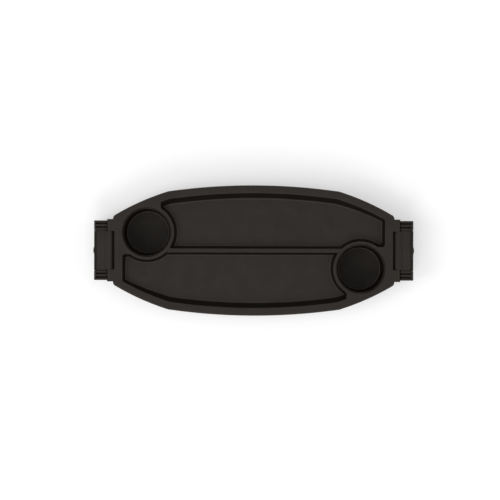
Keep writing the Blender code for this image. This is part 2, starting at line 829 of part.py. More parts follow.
def lever_section():
    """The lever from the side: knuckle, sloped and level top, outer wall and the claw."""
    knuckle = [
        (HINGE_X + KNUCKLE_RADIUS * math.cos(a), HINGE_Z + KNUCKLE_RADIUS * math.sin(a))
        for a in np.radians(np.linspace(90.0, 310.0, 12))
    ]
    plate_top = RIM_Z - PLATE_DROP
    plate_low = plate_top - PLATE
    wall_in = HOOK_END_X - LEVER_WALL
    gusset = LEVER_WALL
    reach = RAIL_DIAMETER / 2 + CLAW_CLEARANCE
    claw = [
        (RAIL_X + reach * math.cos(a), RAIL_Z + reach * math.sin(a))
        for a in np.radians(np.linspace(*CLAW_ANGLES, 6))
    ]
    lip_x = HOOK_END_X - LIP_WIDTH
    lip_z = RIM_Z - LIP_DROP
    groove_z = plate_top - LIP_GROOVE_DEPTH
    return knuckle + [
        (HINGE_X + KNUCKLE_RADIUS, plate_low),
        (wall_in - gusset, plate_low),
        (wall_in, plate_low - gusset),
        (wall_in, claw[0][1] + gusset),
        *claw,
        (claw[-1][0], claw[-1][1] - EDGE_EASE),
        (claw[-1][0] + CLAW_LEAD, LEVER_FOOT_Z),
        (HOOK_END_X, LEVER_FOOT_Z),
        (HOOK_END_X, lip_z),
        (lip_x, lip_z),
        (lip_x, groove_z),
        (lip_x - LIP_GROOVE, groove_z),
        (lip_x - LIP_GROOVE, plate_top),
        (HINGE_X + SLOPE_LENGTH, plate_top),
    ]


def finger_lip():
    """A curved lip on the outer wall, to pull the lever open: a segment of a circle."""
    radius = (FINGER_HALF**2 + FINGER_REACH**2) / (2 * FINGER_REACH)
    spread = math.asin(FINGER_HALF / radius)
    centre = HOOK_END_X + FINGER_REACH - radius
    arc = [
        (centre + radius * math.cos(a), radius * math.sin(a))
        for a in np.linspace(-spread, spread, 9)
    ]
    root = HOOK_END_X - LEVER_WALL / 2
    outline = [(root, -FINGER_HALF), *arc, (root, FINGER_HALF)]
    middle = (0.0, 0.0, FINGER_Z + FINGER_HEIGHT / 2)
    return flat_form("finger_lip", outline, FINGER_HEIGHT, middle, "XY")


def stiffener(y):
    """A three-cornered rib between the lever's top and its outer wall."""
    low_z = WEB_TOP + SWING_GAP
    high_z = RIM_Z - PLATE_DROP - PLATE / 2
    outer = HOOK_END_X - LEVER_WALL / 2
    inner = HINGE_X + SLOPE_LENGTH
    section = [(inner, high_z), (outer, low_z), (outer, high_z)]
    return flat_form("stiffener", section, STIFFENER, (0.0, y, 0.0), "XZ")


def spring_bracket():
    """A shelf under the lever's top for the spring's outer leg to press down on."""
    leg_z = HINGE_Z - SPRING_RADIUS
    shelf_top = leg_z - SPRING_WIRE / 2 - GAP
    y = COIL_LENGTH / 2
    start = HINGE_X + SPRING_LEG_OUT / 2
    end = HINGE_X + SPRING_LEG_OUT
    beside = y + SPRING_WIRE / 2 + GAP
    plate_z = RIM_Z - PLATE_DROP - PLATE / 2
    shelf = ((start, y - SPRING_WIRE, shelf_top - SPRING_STOP), (end, beside + SPRING_STOP, shelf_top))
    hanger = ((start, beside, shelf_top - SPRING_STOP), (end, beside + SPRING_STOP, plate_z))
    return box("spring_shelf", *shelf), box("spring_hanger", *hanger)


def latch_lever(finish):
    lever = flat_form("right_latch_lever", lever_section(), 2 * LEVER_HALF, (0.0, 0.0, 0.0), "XZ")
    add(lever, finger_lip(), *(stiffener(s * y) for y in STIFFENER_YS for s in (-1, 1)))
    add(lever, *spring_bracket())
    knuckle_half = LUG_INNER - GAP
    for face in (-1, 1):
        low_y = min(face * knuckle_half, face * (LEVER_HALF + OVERCUT))
        high_y = max(face * knuckle_half, face * (LEVER_HALF + OVERCUT))
        low = (HINGE_X - 2 * KNUCKLE_RADIUS, low_y, RAIL_Z)
        high = (PACK_X, high_y, RIM_Z + OVERCUT)
        cut(lever, box("lug_clearance", low, high))
    base = (HINGE_X, -knuckle_half - OVERCUT, HINGE_Z)
    cut(lever, cylinder("lever_bore", PIN_RADIUS + GAP, base, 2 * (knuckle_half + OVERCUT), "Y"))
    half = COIL_LENGTH / 2 + SPRING_WIRE / 2 + SPRING_WINDOW_MARGIN
    room = SPRING_RADIUS + SPRING_WIRE / 2 + 2 * GAP
    cut(lever, cylinder("coil_room", room, (HINGE_X, -half, HINGE_Z), 2 * half, "Y"))
    low = (HINGE_X - 2 * KNUCKLE_RADIUS, -half, HINGE_Z - 2 * KNUCKLE_RADIUS)
    high = (HINGE_X + SPRING_LEG_OUT / 2 - GAP, half, HINGE_Z)
    cut(lever, box("coil_window", low, high))
    lever = meshed(lever)
    moved_origin(lever, HINGE)
    as_part(lever, "right_latch_lever", finish)
    soften(lever)
    return lever


def hinge_pin(finish):
    ease = PIN_RADIUS / 4
    half = LUG_OUTER - GAP
    profile = [(0.0, half), (PIN_RADIUS - ease, half), (PIN_RADIUS, half - ease)]
    profile += [(radius, -height) for radius, height in reversed(profile)]
    pin = turned_form("right_hinge_pin", profile, BORE_STEPS)
    pin.matrix_world = Matrix.Translation(HINGE) @ Matrix.Rotation(math.pi / 2, 4, "X")
    as_part(pin, "right_hinge_pin", finish)
    soften(pin)
    return pin


# Torsion spring


def coil_point(angle):
    """A point of the coil at an angle turned from its start, which lies at +X beside the pin."""
    along = SPRING_PITCH * angle / math.tau - COIL_LENGTH / 2
    x = SPRING_RADIUS * math.cos(angle)
    z = SPRING_RADIUS * math.sin(angle)
    return (x, along, z)


def spring_path():
    """Up the lower leg, round the coil, and out along the upper leg, in one unbroken line."""
    count = round(SPRING_TURNS * COIL_STEPS)
    coil = [coil_point(math.tau * SPRING_TURNS * k / count) for k in range(count + 1)]
    legs = np.linspace(1.0, 0.0, 4)[:-1]
    lower = [(coil[0][0], coil[0][1], -SPRING_LEG_DOWN * share) for share in legs]
    last = coil[-1]
    outer = [(last[0] + SPRING_LEG_OUT * share, last[1], last[2]) for share in legs[::-1]]
    return np.array(lower + coil + outer)


def least_self_gap(path):
    """The least space between turns, measured on points at least half a turn apart."""
    between = np.linalg.norm(path[:, None] - path[None], axis=2)
    apart = np.abs(np.subtract.outer(np.arange(len(path)), np.arange(len(path))))
    return between[apart >= COIL_STEPS // 2].min() - SPRING_WIRE


def latch_spring(finish):
    path = spring_path()
    print(f"latch spring, least gap to itself: {1000 * least_self_gap(path):.2f} mm")
    curve = bpy.data.curves.new("right_latch_spring", "CURVE")
    curve.dimensions = "3D"
    curve.bevel_depth = SPRING_WIRE / 2
    curve.bevel_resolution = 1
    curve.use_fill_caps = True
    spline = curve.splines.new("POLY")
    spline.points.add(len(path) - 1)
    for point, place in zip(spline.points, path):
        point.co = (*place, 1.0)
    spring = bpy.data.objects.new("right_latch_spring", curve)
    spring.matrix_world = Matrix.Translation(HINGE)
    spring = meshed(spring)
    as_part(spring, "right_latch_spring", finish)
    soften(spring, math.radians(70.0))
    return spring


# Screws


def screw_mesh(finish):
    """A pan-head screw with its shank up, a cross recess below and its seat at z = 0."""
    shank, head = SCREW_RADIUS, SCREW_HEAD_RADIUS
    profile = [
        (0.0, SCREW_LENGTH),
        (shank, SCREW_LENGTH - shank),
        (shank, 0.0),
        (head, 0.0),
        (head, -SCREW_HEAD / 2),
        (head - SCREW_HEAD / 3, -SCREW_HEAD),
        (0.0, -SCREW_HEAD),
    ]
    screw = turned_form("screw", profile, SCREW_STEPS)
    for across in ((RECESS_LENGTH, RECESS_WIDTH), (RECESS_WIDTH, RECESS_LENGTH)):
        half = np.array((*across, 0.0)) / 2
        low = (-half[0], -half[1], -SCREW_HEAD - OVERCUT)
        high = (half[0], half[1], -SCREW_HEAD + RECESS_DEPTH)
        cut(screw, box("recess", low, high))
    screw = meshed(screw)
    mesh = screw.data
    bpy.data.objects.remove(screw, do_unlink=True)
    mesh.materials.append(finish)
    mesh.shade_smooth()
    mesh.set_sharp_from_angle(angle=math.radians(35.0))
    return mesh


def place_screws(finish):
    mesh = screw_mesh(finish)
    rows = []
    for side, word in ((-1, "left"), (1, "right")):
        rows.append((word + "_cup_screw", cup_screw_places(side), CUP_FLANGE_Z - GAP))
        seat = SKIRT_Z - GAP - FLANGE - GAP
        rows.append((word + "_hook_screw", hook_screw_places(side), seat))
    for name, places, height in rows:
        for k, place in enumerate(places):
            screw = bpy.data.objects.new(f"{name}_{k + 1}", mesh)
            screw.location = (*place, height)
            parts.objects.link(screw)


def main():
    clear_scene()
    charcoal = material("charcoal_plastic", (0.032, 0.028, 0.025), 0.5)
    dark = material("dark_plastic", (0.028, 0.025, 0.022), 0.5)
    rubber = material("pad_rubber", (0.012, 0.012, 0.012), 0.85)
    steel = material("screw_steel", (0.45, 0.45, 0.44), 0.3, 1.0)
    wire = material("spring_steel", (0.30, 0.30, 0.30), 0.35, 1.0)
    tray_top(charcoal)
    pairs = (
        (cup_well(dark), "left_cup_well"),
        (rail_hook(charcoal), "left_rail_hook"),
        (latch_lever(charcoal), "left_latch_lever"),
        (hinge_pin(steel), "left_hinge_pin"),
        (latch_spring(wire), "left_latch_spring"),
        (rail_pad("right_front_rail_pad", -1, rubber), "left_back_rail_pad"),
        (rail_pad("right_back_rail_pad", 1, rubber), "left_front_rail_pad"),
    )
    for piece, twin in pairs:
        turned_copy(piece, twin)
    place_screws(steel)


main()
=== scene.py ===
"""Snack tray over two side rails: finished surfaces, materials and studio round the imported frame.

Every surface is worked out with numpy as rings of points, in metres, in the frame's own axes. The
tray looks the same after half a turn about Z, so one half is worked out and turned.
"""

import json
import math

import bmesh
import bpy
import numpy as np
from bpy.props import FloatProperty, FloatVectorProperty, PointerProperty
from mathutils import Matrix, Vector
from mathutils.geometry import delaunay_2d_cdt


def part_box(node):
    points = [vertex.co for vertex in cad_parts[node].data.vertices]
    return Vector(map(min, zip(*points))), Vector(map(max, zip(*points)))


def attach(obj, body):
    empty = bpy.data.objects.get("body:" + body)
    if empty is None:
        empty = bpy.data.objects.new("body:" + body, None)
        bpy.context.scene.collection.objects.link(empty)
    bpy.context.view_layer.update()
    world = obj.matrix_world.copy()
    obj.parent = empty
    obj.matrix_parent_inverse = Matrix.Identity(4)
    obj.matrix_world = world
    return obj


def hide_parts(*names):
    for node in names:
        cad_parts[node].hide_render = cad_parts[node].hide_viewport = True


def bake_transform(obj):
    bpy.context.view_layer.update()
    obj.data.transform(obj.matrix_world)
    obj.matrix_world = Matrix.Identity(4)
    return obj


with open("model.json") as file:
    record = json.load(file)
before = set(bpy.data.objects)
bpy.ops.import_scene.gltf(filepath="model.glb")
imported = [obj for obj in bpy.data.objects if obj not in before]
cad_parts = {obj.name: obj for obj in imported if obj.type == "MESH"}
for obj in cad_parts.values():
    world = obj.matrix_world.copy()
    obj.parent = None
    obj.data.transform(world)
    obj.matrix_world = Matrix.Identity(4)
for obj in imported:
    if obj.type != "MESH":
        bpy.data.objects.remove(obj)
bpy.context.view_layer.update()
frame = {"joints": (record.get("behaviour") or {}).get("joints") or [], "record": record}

bl_info = {
    "name": "Snack Tray",
    "version": (1, 0, 0),
    "blender": (4, 5, 0),
    "location": "View3D > Sidebar > Snack Tray",
    "description": "Builds the finished surfaces of a rail-mounted snack tray",
    "category": "Object",
}

# Places that come from the frame
MOUNTS = {mount["name"]: mount["pos_m"] for mount in frame["record"]["mounts"]}
JOINTS = {joint["name"]: joint for joint in frame["joints"]}
CUP = np.array(MOUNTS["left_cup_base"][:2])
HINGE_X, _, HINGE_Z = JOINTS["right_latch_hinge"]["pos_m"]
HINGE = np.array((HINGE_X, HINGE_Z))
RAIL_X, _, SEAT_Z = MOUNTS["right_back_rail_seat"]
TRAY_HIGH = np.array(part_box("tray_top")[1])
HOOK_LOW, HOOK_HIGH = (np.array(corner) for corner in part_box("right_rail_hook"))
LEVER_LOW, LEVER_HIGH = (np.array(corner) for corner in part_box("right_latch_lever"))
PAD_LOW, PAD_HIGH = (np.array(corner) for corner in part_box("right_back_rail_pad"))
RIM_Z, SIDE_Y = TRAY_HIGH[2], TRAY_HIGH[1]

# Tray outline seen from above, and heights down from the rim. The notch's corners have radii
# that are shares of its depth, the inner ones turned the other way.
END_X = 0.247
END_HALF = 0.060
SIDE_RADIUS = 1.061
BEND_X = 0.150
ANGLED_RADIUS = 0.440
OUTLINE_FILLET = 0.008
SKIRT_Z = RIM_Z - 0.018
SKIRT_DRAFT = 0.0006
FLOOR_Z = RIM_Z - 0.020
NOTCH_HALF = 0.0338
NOTCH_DEPTH = 0.0026
NOTCH_BENDS = (0.15, -0.75)
LEAST_BEND = 0.001

# Rim, basin and ridge
RIM_WIDTH = 0.0132
END_RIM_WIDTH = 0.0165
SIDE_RUN = 0.0096
END_RUN = 0.0045
SHELF_RUN = 0.0046
SHELF_EDGE_X = 0.0243
SHELF_EDGE_Y = 0.0383
RIDGE_Z = RIM_Z - 0.0022
RIDGE_HALF = 0.0035
RIDGE_RUN = 0.0042
RIDGE_CORNER = 0.0016
LEAST_CORNER = 0.0004

# Cup bores, wells, flanges and screw bosses. Bore, collar, pipe, mouth and boss are radii.
BORE = 0.0427
COLLAR = BORE + 0.0054
PIPE = BORE + 0.0033
PIPE_Z = FLOOR_Z - 0.005
LEDGE_Z = RIM_Z - 0.007
MOUTH = 0.0389
CUP_FLOOR_RADIUS = 0.0379
CUP_FLOOR_Z = 0.0026
RING_FOOT_Z = LEDGE_Z - 0.008
LAND = 0.001
FLANGE_Z = PIPE_Z - 0.009
FLANGE = 0.003
FLANGE_RADIUS = BORE + 0.0048
EAR_OFFSET = FLANGE_RADIUS + 0.0025
EAR_RADIUS = 0.005
EAR_ANGLES = (30.0, 150.0, 270.0)
EAR_SPREAD = 6.2
BOSS = 0.0038

# Hinge, hooks, rails, pads and levers. Knuckle and pin are radii, and plate is a thickness.
LUG_OUTER = 0.0548
KNUCKLE = 0.0048
PIN = 0.0020
HOOK_END = HOOK_HIGH[0]
HOOK_HALF = HOOK_HIGH[1]
HOOK_FLANGE = 0.0037
CHANNEL_IN = 0.2500
CHANNEL_OUT = 0.2768
LEG_BACK = 0.2460
WEB_TOP = SKIRT_Z + 0.0033
PACK_X = 0.2578
PACK_HALF = 0.0355
GROOVE = 0.0028
GROOVE_Z = RIM_Z - 0.013
HOOK_SCREW_X = HOOK_LOW[0] + 0.005
HOOK_SCREW_YS = ((HOOK_HALF - 0.0073) / 3, HOOK_HALF - 0.0073)
LEVER_HALF = NOTCH_HALF + 0.0012
PLATE_Z = RIM_Z - 0.0022
PLATE = 0.0028
RAIL_RADIUS = 0.0111
PAD_WALL = 0.0020
WINDOW = 0.0056
LEVER_RIB_YS = (-0.031, -0.018, 0.018, 0.031)
LEVER_RIB_HALF = 0.0009
FINGER_HALF = 0.0096
FINGER_LOW = 0.0055
FINGER_HIGH = 0.005

# Spring and screws, with the screw's thread and its cross recess. Screw is the shank's radius.
SPRING_WIRE = 0.0008
SPRING_RADIUS = 0.0029
SPRING_PITCH = 0.0014
SPRING_TURNS = 5.75
SPRING_DOWN = 0.0085
SPRING_OUT = 0.0090
SCREW = 0.00145
SCREW_LENGTH = 0.010
SCREW_HEAD = 0.0022
SCREW_HEAD_RADIUS = 0.0032
THREAD_PITCH = 0.00095
THREAD_DEPTH = 0.00024
CROSS_LENGTH = 0.0017
CROSS_HALF = 0.00055
CROSS_DEPTH = 0.0012

# Clearance between pieces, the spare that keeps two faces from lying in one plane, and how far
# a joined part is sunk in
GAP = 0.0003
HAIR = 0.00004
SINK = 0.001

# Radii of small edges and of the ribs' corners, and how many radii in from an edge a flat starts
FINE_EDGE = 0.0005
RIB_CORNER = 0.0011
FLAT_START = 1.3
RIM_FLAT_START = 1.4

# Ramps of the normal's height over which walls stop getting painted shade, and eased edges start
# and stop getting painted highlight
WALL_STOP = (0.45, 0.60)
EDGE_START = (0.50, 0.65)
EDGE_STOP = (0.93, 0.985)

# Plastic: darker and lighter shade and size of its mottling, and its weak shine
MOTTLING = (0.90, 1.10, 0.030)
MATT_SHINE = 0.06

# Studio: each lamp's degrees round from +X and degrees up, then sizes and distances, where the
# camera stands and how many degrees it is turned, and the strength of the floor's own glow
LAMPS = {"main": (195, 60), "front": (262, 55), "side": (0, 50), "top": (90, 88)}
LAMP_AWAY = 3.0
LAMP_SIZE = 1.5
FLOOR_REACH = 8.0
FLOOR_DROP = 0.0001
SHADOW_REACH = 0.33
CAMERA_PLACE = (-0.0065, 0.0009)
CAMERA_TURN = 0.13
GLOW = 1.25

# How finely the surfaces are cut, and how near two points are merged
BEND_STEPS = 6
ROUND_STEPS = 120
BOSS_STEPS = 32
HOLE_STEPS = 24
PIN_STEPS = 48
SCREW_STEPS = 36
SPRING_STEPS = 36
WIRE_STEPS = 14
EASE_STEPS = 5
NEWTON_STEPS = 14
MERGE = 1e-6


def length_property(name, default, description, **more):
    return FloatProperty(
        name=name, description=description, default=default, unit="LENGTH", **more
    )


def color_property(name, default, description):
    return FloatVectorProperty(
        name=name, description=description, default=default, subtype="COLOR", size=3
    )


def share_property(name, default, description):
    return FloatProperty(
        name=name, description=description, default=default, subtype="FACTOR", min=0.0, max=1.0
    )


def power_property(name, default, description):
    return FloatProperty(name=name, description=description, default=default, unit="POWER")


class TraySizes(bpy.types.PropertyGroup):
    """Walls and eased edges."""

    wall: length_property("Wall", 0.0025, "Thickness of the moulded walls")
    rim_bevel: length_property(
        "Rim bevel width", 0.0030, "How far the rim's outer edge is rounded in from the side"
    )
    rim_drop: length_property(
        "Rim bevel drop", 0.0024, "How far the rim's outer edge is rounded down from the top"
    )
    edge: length_property(
        "Basin edge", 0.0010, "Radius where the rim turns down into the basin and the cup bores"
    )
    floor_fillet: length_property(
        "Floor fillet", 0.0022, "Radius between the basin's walls and its floor"
    )
    corner: length_property(
        "Pocket corner", 0.0045, "Radius of the pockets' corners seen from above"
    )
    small_edge: length_property(
        "Small edge", 0.0005, "Radius on the edges of the hooks and levers"
    )


class TrayFinishes(bpy.types.PropertyGroup):
    """Colours and textures."""

    tray_color: color_property(
        "Tray colour", (0.0250, 0.0208, 0.0178), "Charcoal of the tray, hooks and levers"
    )
    # The cup wells' colour is set darker than the tray's; part of that darkness is painted shade
    # for the deep wells
    cup_color: color_property(
        "Cup colour", (0.0178, 0.0147, 0.0120), "Darker plastic of the cup wells"
    )
    rubber_color: color_property(
        "Rubber colour", (0.0100, 0.0100, 0.0100), "Soft black of the rail pads"
    )
    steel_color: color_property(
        "Steel colour", (0.30, 0.29, 0.27), "Plated steel of the screws and pins"
    )
    wire_color: color_property("Wire colour", (0.30, 0.29, 0.28), "Oiled spring steel")
    # Painted shade: how dark the steep inner walls are painted, as a share of the flats
    wall_painted_darkness: share_property(
        "Wall shade", 0.32, "Brightness of the inner walls as a share of the flats"
    )
    # Painted highlight: how light the tray's eased edges are painted, as a share of its flats
    edge_painted_brightness: FloatProperty(
        name="Edge shade",
        description="Brightness of the tray's eased edges as a share of its flats",
        min=0.0,
        default=1.6,
    )
    # Painted highlight: how light the fillet round the cups' floors is painted, as a share of the
    # floors
    cup_edge_painted_brightness: FloatProperty(
        name="Cup edge shade",
        description="Brightness of the fillet round the cups' floors as a share of the floors",
        min=0.0,
        default=3.5,
    )
    grain: length_property(
        "Grain", 0.00045, "Size of the moulded surface's fine grain", precision=5
    )
    grain_depth: length_property(
        "Grain depth", 0.00003, "Depth of the moulded surface's fine grain", precision=6
    )
    roughness: share_property("Roughness", 0.52, "Mean roughness of the moulded plastic")


class TrayStudio(bpy.types.PropertyGroup):
    """Camera, floor and lamps."""

    camera_height: length_property("Camera height", 4.8, "Height of the camera above the rim")
    view_width: length_property(
        "View width", 0.877, "Width of the rim's plane that the picture takes in"
    )
    floor_color: color_property("Floor colour", (0.95, 0.95, 0.95), "White of the floor")
    floor_share: share_property(
        "Floor share", 0.68, "How much of the floor's brightness is left to lamps and shadows"
    )
    main_power: power_property(
        "Main lamp power", 24.0, "Power of the lamp at the left and slightly to the front"
    )
    front_power: power_property("Front lamp power", 22.0, "Power of the high lamp at the front")
    side_power: power_property("Side lamp power", 8.0, "Power of the lamp at the right")
    top_power: power_property(
        "Top lamp power", 14.0, "Power of the lamp overhead, which lights the cups' floors"
    )
    sky: FloatProperty(
        name="Sky strength", description="Strength of the even light all round", default=0.40
    )


# Outlines in a plane: an edge is a line or an arc that knows how deep inside it a point lies


def line(point, inward):
    """A straight edge through a point. inward is the unit vector into the region."""
    return {"point": np.array(point, float), "inward": np.array(inward, float)}


def arc(centre, radius, side=1):
    """side is 1 where the region lies inside the circle, and -1 where it lies outside."""
    return {"centre": np.array(centre, float), "radius": radius, "side": side}


def inset(edge, distance):
    """The edge moved into the region by a distance, which an arc's radius shrinks or grows by."""
    if "inward" in edge:
        return line(edge["point"] + edge["inward"] * distance, edge["inward"])
    return arc(edge["centre"], edge["radius"] - edge["side"] * distance, edge["side"])


def half_turned(edge):
    """The edge after half a turn about the origin."""
    if "inward" in edge:
        return line(-edge["point"], -edge["inward"])
    return arc(-edge["centre"], edge["radius"], edge["side"])


def depth(edge, point):
    """How deep a point lies inside the edge, and the direction in which that grows."""
    if "inward" in edge:
        return float((point - edge["point"]) @ edge["inward"]), edge["inward"]
    away = point - edge["centre"]
    length = float(np.hypot(*away))
    return edge["side"] * (edge["radius"] - length), -edge["side"] * away / length


def meeting(first, second, near, inside=0.0):
    """The point equally deep inside two edges, by Newton's method from a point near it."""
    point = np.array(near, float)
    for _ in range(NEWTON_STEPS):
        depths, slopes = zip(*(depth(edge, point) for edge in (first, second)))
        point = point + np.linalg.solve(np.array(slopes), inside - np.array(depths))
    return point


def inscribed_radius(edges, near):
    """Radius of the circle that touches three edges from inside, by Newton's method."""
    guess = np.array((*near, 0.0))
    for _ in range(NEWTON_STEPS):
        depths, slopes = zip(*(depth(edge, guess[:2]) for edge in edges))
        rows = np.column_stack((slopes, -np.ones(3)))
        guess = guess + np.linalg.solve(rows, guess[2] - np.array(depths))
    return guess[2]


def foot(edge, point):
    """The edge's nearest point to another: back from it by its depth, along the edge's slope."""
    distance, slope = depth(edge, point)
    return point - slope * distance


def arc_through(start, end, radius):
    """The arc from start to end, counter-clockwise, that bulges to the right of that way."""
    chord = np.array(end) - np.array(start)
    length = np.hypot(*chord)
    left = np.array((-chord[1], chord[0])) / length
    rise = math.sqrt(radius**2 - length**2 / 4)
    return arc((np.array(start) + np.array(end)) / 2 + left * rise, radius)


def rays(angles):
    """Points on the unit circle."""
    return np.stack((np.cos(angles), np.sin(angles)), 1)


def full_turn(count):
    """So many angles, spread evenly round a circle."""
    return math.tau * np.arange(count) / count


def turn(centre, start, end, steps, clockwise=False):
    """Points on a circle from start to end, both included."""
    first = math.atan2(*(start - centre)[::-1])
    sweep = (math.atan2(*(end - centre)[::-1]) - first) % math.tau
    if clockwise:
        sweep -= math.tau
    angles = first + sweep * np.linspace(0.0, 1.0, steps + 1)
    return centre + np.hypot(*(start - centre)) * rays(angles)


def outline(edges, nears, radii, steps, bends):
    """Runs and bends of a closed outline, counter-clockwise, as a list of point arrays.

    Corner k joins edge k to edge k + 1 by a tangent arc, whose centre is a radius deep inside
    both. The radius is negative where the outline turns clockwise. A run leaves out its ends,
    which belong to the bends.
    """
    following = edges[1:] + edges[:1]
    centres = [meeting(*pair) for pair in zip(edges, following, nears, radii)]
    pieces = []
    for k, edge in enumerate(edges):
        start, end = foot(edge, centres[k - 1]), foot(edge, centres[k])
        if "inward" in edge:
            run = start + (end - start) * np.linspace(0.0, 1.0, steps[k] + 1)[:, None]
        else:
            run = turn(edge["centre"], start, end, steps[k], edge["side"] < 0)
        after = foot(following[k], centres[k])
        pieces += [run[1:-1], turn(centres[k], end, after, bends[k], radii[k] < 0)]
    return pieces


def rounded(points, radii, steps=EASE_STEPS):
    """An open path whose inner points are replaced by tangent arcs.

    An arc's centre lies on its corner's bisector, radius / sin(half the angle) from the corner,
    and its points are spread evenly between the two tangents.
    """
    points = np.array(points, float)
    corner = points[1:-1]
    radii = np.broadcast_to(np.array(radii, float), len(corner))[:, None]
    back, ahead = points[:-2] - corner, points[2:] - corner
    back /= np.linalg.norm(back, axis=1, keepdims=True)
    ahead /= np.linalg.norm(ahead, axis=1, keepdims=True)
    half = np.arccos(np.clip((back * ahead).sum(1, keepdims=True), -1.0, 1.0)) / 2
    middle = (back + ahead) / np.linalg.norm(back + ahead, axis=1, keepdims=True)
    along = (ahead - back) / np.linalg.norm(ahead - back, axis=1, keepdims=True)
    centre = corner + middle * radii / np.sin(half)
    sweep = ((math.pi / 2 - half) * np.linspace(-1.0, 1.0, steps + 1))[..., None]
    arcs = np.sin(sweep) * along[:, None] - np.cos(sweep) * middle[:, None]
    arcs = centre[:, None] + radii[:, None] * arcs
    return np.vstack((points[:1], arcs.reshape(-1, points.shape[1]), points[-1:]))


def rounded_loop(points, radii, steps=EASE_STEPS):
    """A closed polygon with every corner replaced by a tangent arc."""
    points = np.array(points, float)
    return rounded(np.vstack((points[-1:], points, points[:1])), radii, steps)[1:-1]


def rectangle(low, high):
    """A rectangle's corners, counter-clockwise from its low one."""
    return [(low[0], low[1]), (high[0], low[1]), (high[0], high[1]), (low[0], high[1])]


def offset_loop(loop, distance):
    """A closed counter-clockwise loop moved inward, each point along its two edges' mitre."""
    ahead = np.roll(loop, -1, axis=0) - loop
    ahead /= np.linalg.norm(ahead, axis=1, keepdims=True)
    normals = np.stack((-ahead[:, 1], ahead[:, 0]), 1)
    before = np.roll(normals, 1, axis=0)
    share = 1.0 + (normals * before).sum(1, keepdims=True)
    return loop + distance * (normals + before) / share


def circle(centre, radius, count=ROUND_STEPS):
    """Evenly spaced points on a circle, counter-clockwise."""
    return np.array(centre) + radius * rays(full_turn(count))


def quarter(steps=EASE_STEPS):
    """Cosine and sine of evenly spaced angles through a right angle."""
    angles = np.linspace(0.0, math.pi / 2, steps + 1)
    return list(zip(np.cos(angles), np.sin(angles)))


def eased(edge):
    """How far a rounded edge has drawn in, and how far it has run on, at each of its steps."""
    return [(edge * (1 - s), edge * (1 - c)) for c, s in quarter()]


def level(loop, height):
    """Places a loop of x and y at a height."""
    return np.column_stack((loop, np.full(len(loop), height)))


def across(loop, y):
    """Places a loop of x and z at the given y."""
    return np.column_stack((loop[:, 0], np.full(len(loop), y), loop[:, 1]))


# Surfaces: rings of points joined into skins, which become closed meshes


class Skin:
    """Patches of one piece, whose shared rings are merged when its mesh is made."""

    def __init__(self):
        self.points = []
        self.faces = []
        self.count = 0

    def patch(self, points, faces):
        """Adds points, and faces whose numbers count from the first of them."""
        self.points.append(points)
        self.faces.append(np.asarray(faces) + self.count)
        self.count += len(points)

    def both(self, half):
        """Adds another skin, and the same again after half a turn about Z."""
        for signs in ((1.0, 1.0, 1.0), (-1.0, -1.0, 1.0)):
            start = self.count
            self.points += [points * signs for points in half.points]
            self.faces += [faces + start for faces in half.faces]
            self.count += half.count

    def strip(self, rings, closed=False):
        """Quads between rings of equal counts, and from the last ring to the first if closed."""
        rings = np.asarray(rings, float)
        rows, columns = rings.shape[:2]
        index = np.arange(rows * columns).reshape(rows, columns)
        if closed:
            index = np.vstack((index, index[:1]))
        low, high = index[:-1], index[1:]
        quads = np.stack((low, np.roll(low, -1, 1), np.roll(high, -1, 1), high), -1)
        self.patch(rings.reshape(-1, 3), quads.reshape(-1, 4))

    def fill(self, loops, place):
        """Triangles over the flat region inside the first loop and outside the others.

        A triangle stays where a ray from its middle crosses the loops an odd number of times.
        """
        starts = np.cumsum([0] + [len(loop) for loop in loops])
        spans = zip(starts[:-1], starts[1:])
        following = np.concatenate([np.roll(np.arange(a, b), -1) for a, b in spans])
        flat = np.vstack(loops)
        edges = np.stack((np.arange(len(flat)), following), 1).tolist()
        made = delaunay_2d_cdt([Vector(point) for point in flat], edges, [], 0, 1e-9)
        origins = [source[0] for source in made[3]]
        triangles = np.array(origins)[np.array(made[2])]
        middles = flat[triangles].mean(axis=1)[:, None]
        end = flat[following]
        above = (flat[:, 1] > middles[..., 1]) != (end[:, 1] > middles[..., 1])
        rise = np.where(end[:, 1] == flat[:, 1], 1.0, end[:, 1] - flat[:, 1])
        cross = flat[:, 0] + (middles[..., 1] - flat[:, 1]) * (end - flat)[:, 0] / rise
        inside = (above & (middles[..., 0] < cross)).sum(axis=1) % 2 == 1
        self.patch(place(flat), triangles[inside])

    def fill_level(self, loops, height):
        """Fills between loops at one height."""
        self.fill(loops, lambda flat: level(flat, height))

    def mesh(self, name, sharp=38.0):
        """One mesh of all the patches, merged where they meet, with its faces turned outward."""
        made = bpy.data.meshes.new(name)
        faces = [face for patch in self.faces for face in patch.tolist()]
        made.from_pydata(np.vstack(self.points), [], faces)
        grid = bmesh.new()
        grid.from_mesh(made)
        bmesh.ops.remove_doubles(grid, verts=grid.verts, dist=MERGE)
        bmesh.ops.recalc_face_normals(grid, faces=grid.faces)
        grid.to_mesh(made)
        grid.free()
        made.shade_smooth()
        made.set_sharp_from_angle(angle=math.radians(sharp))
        return made


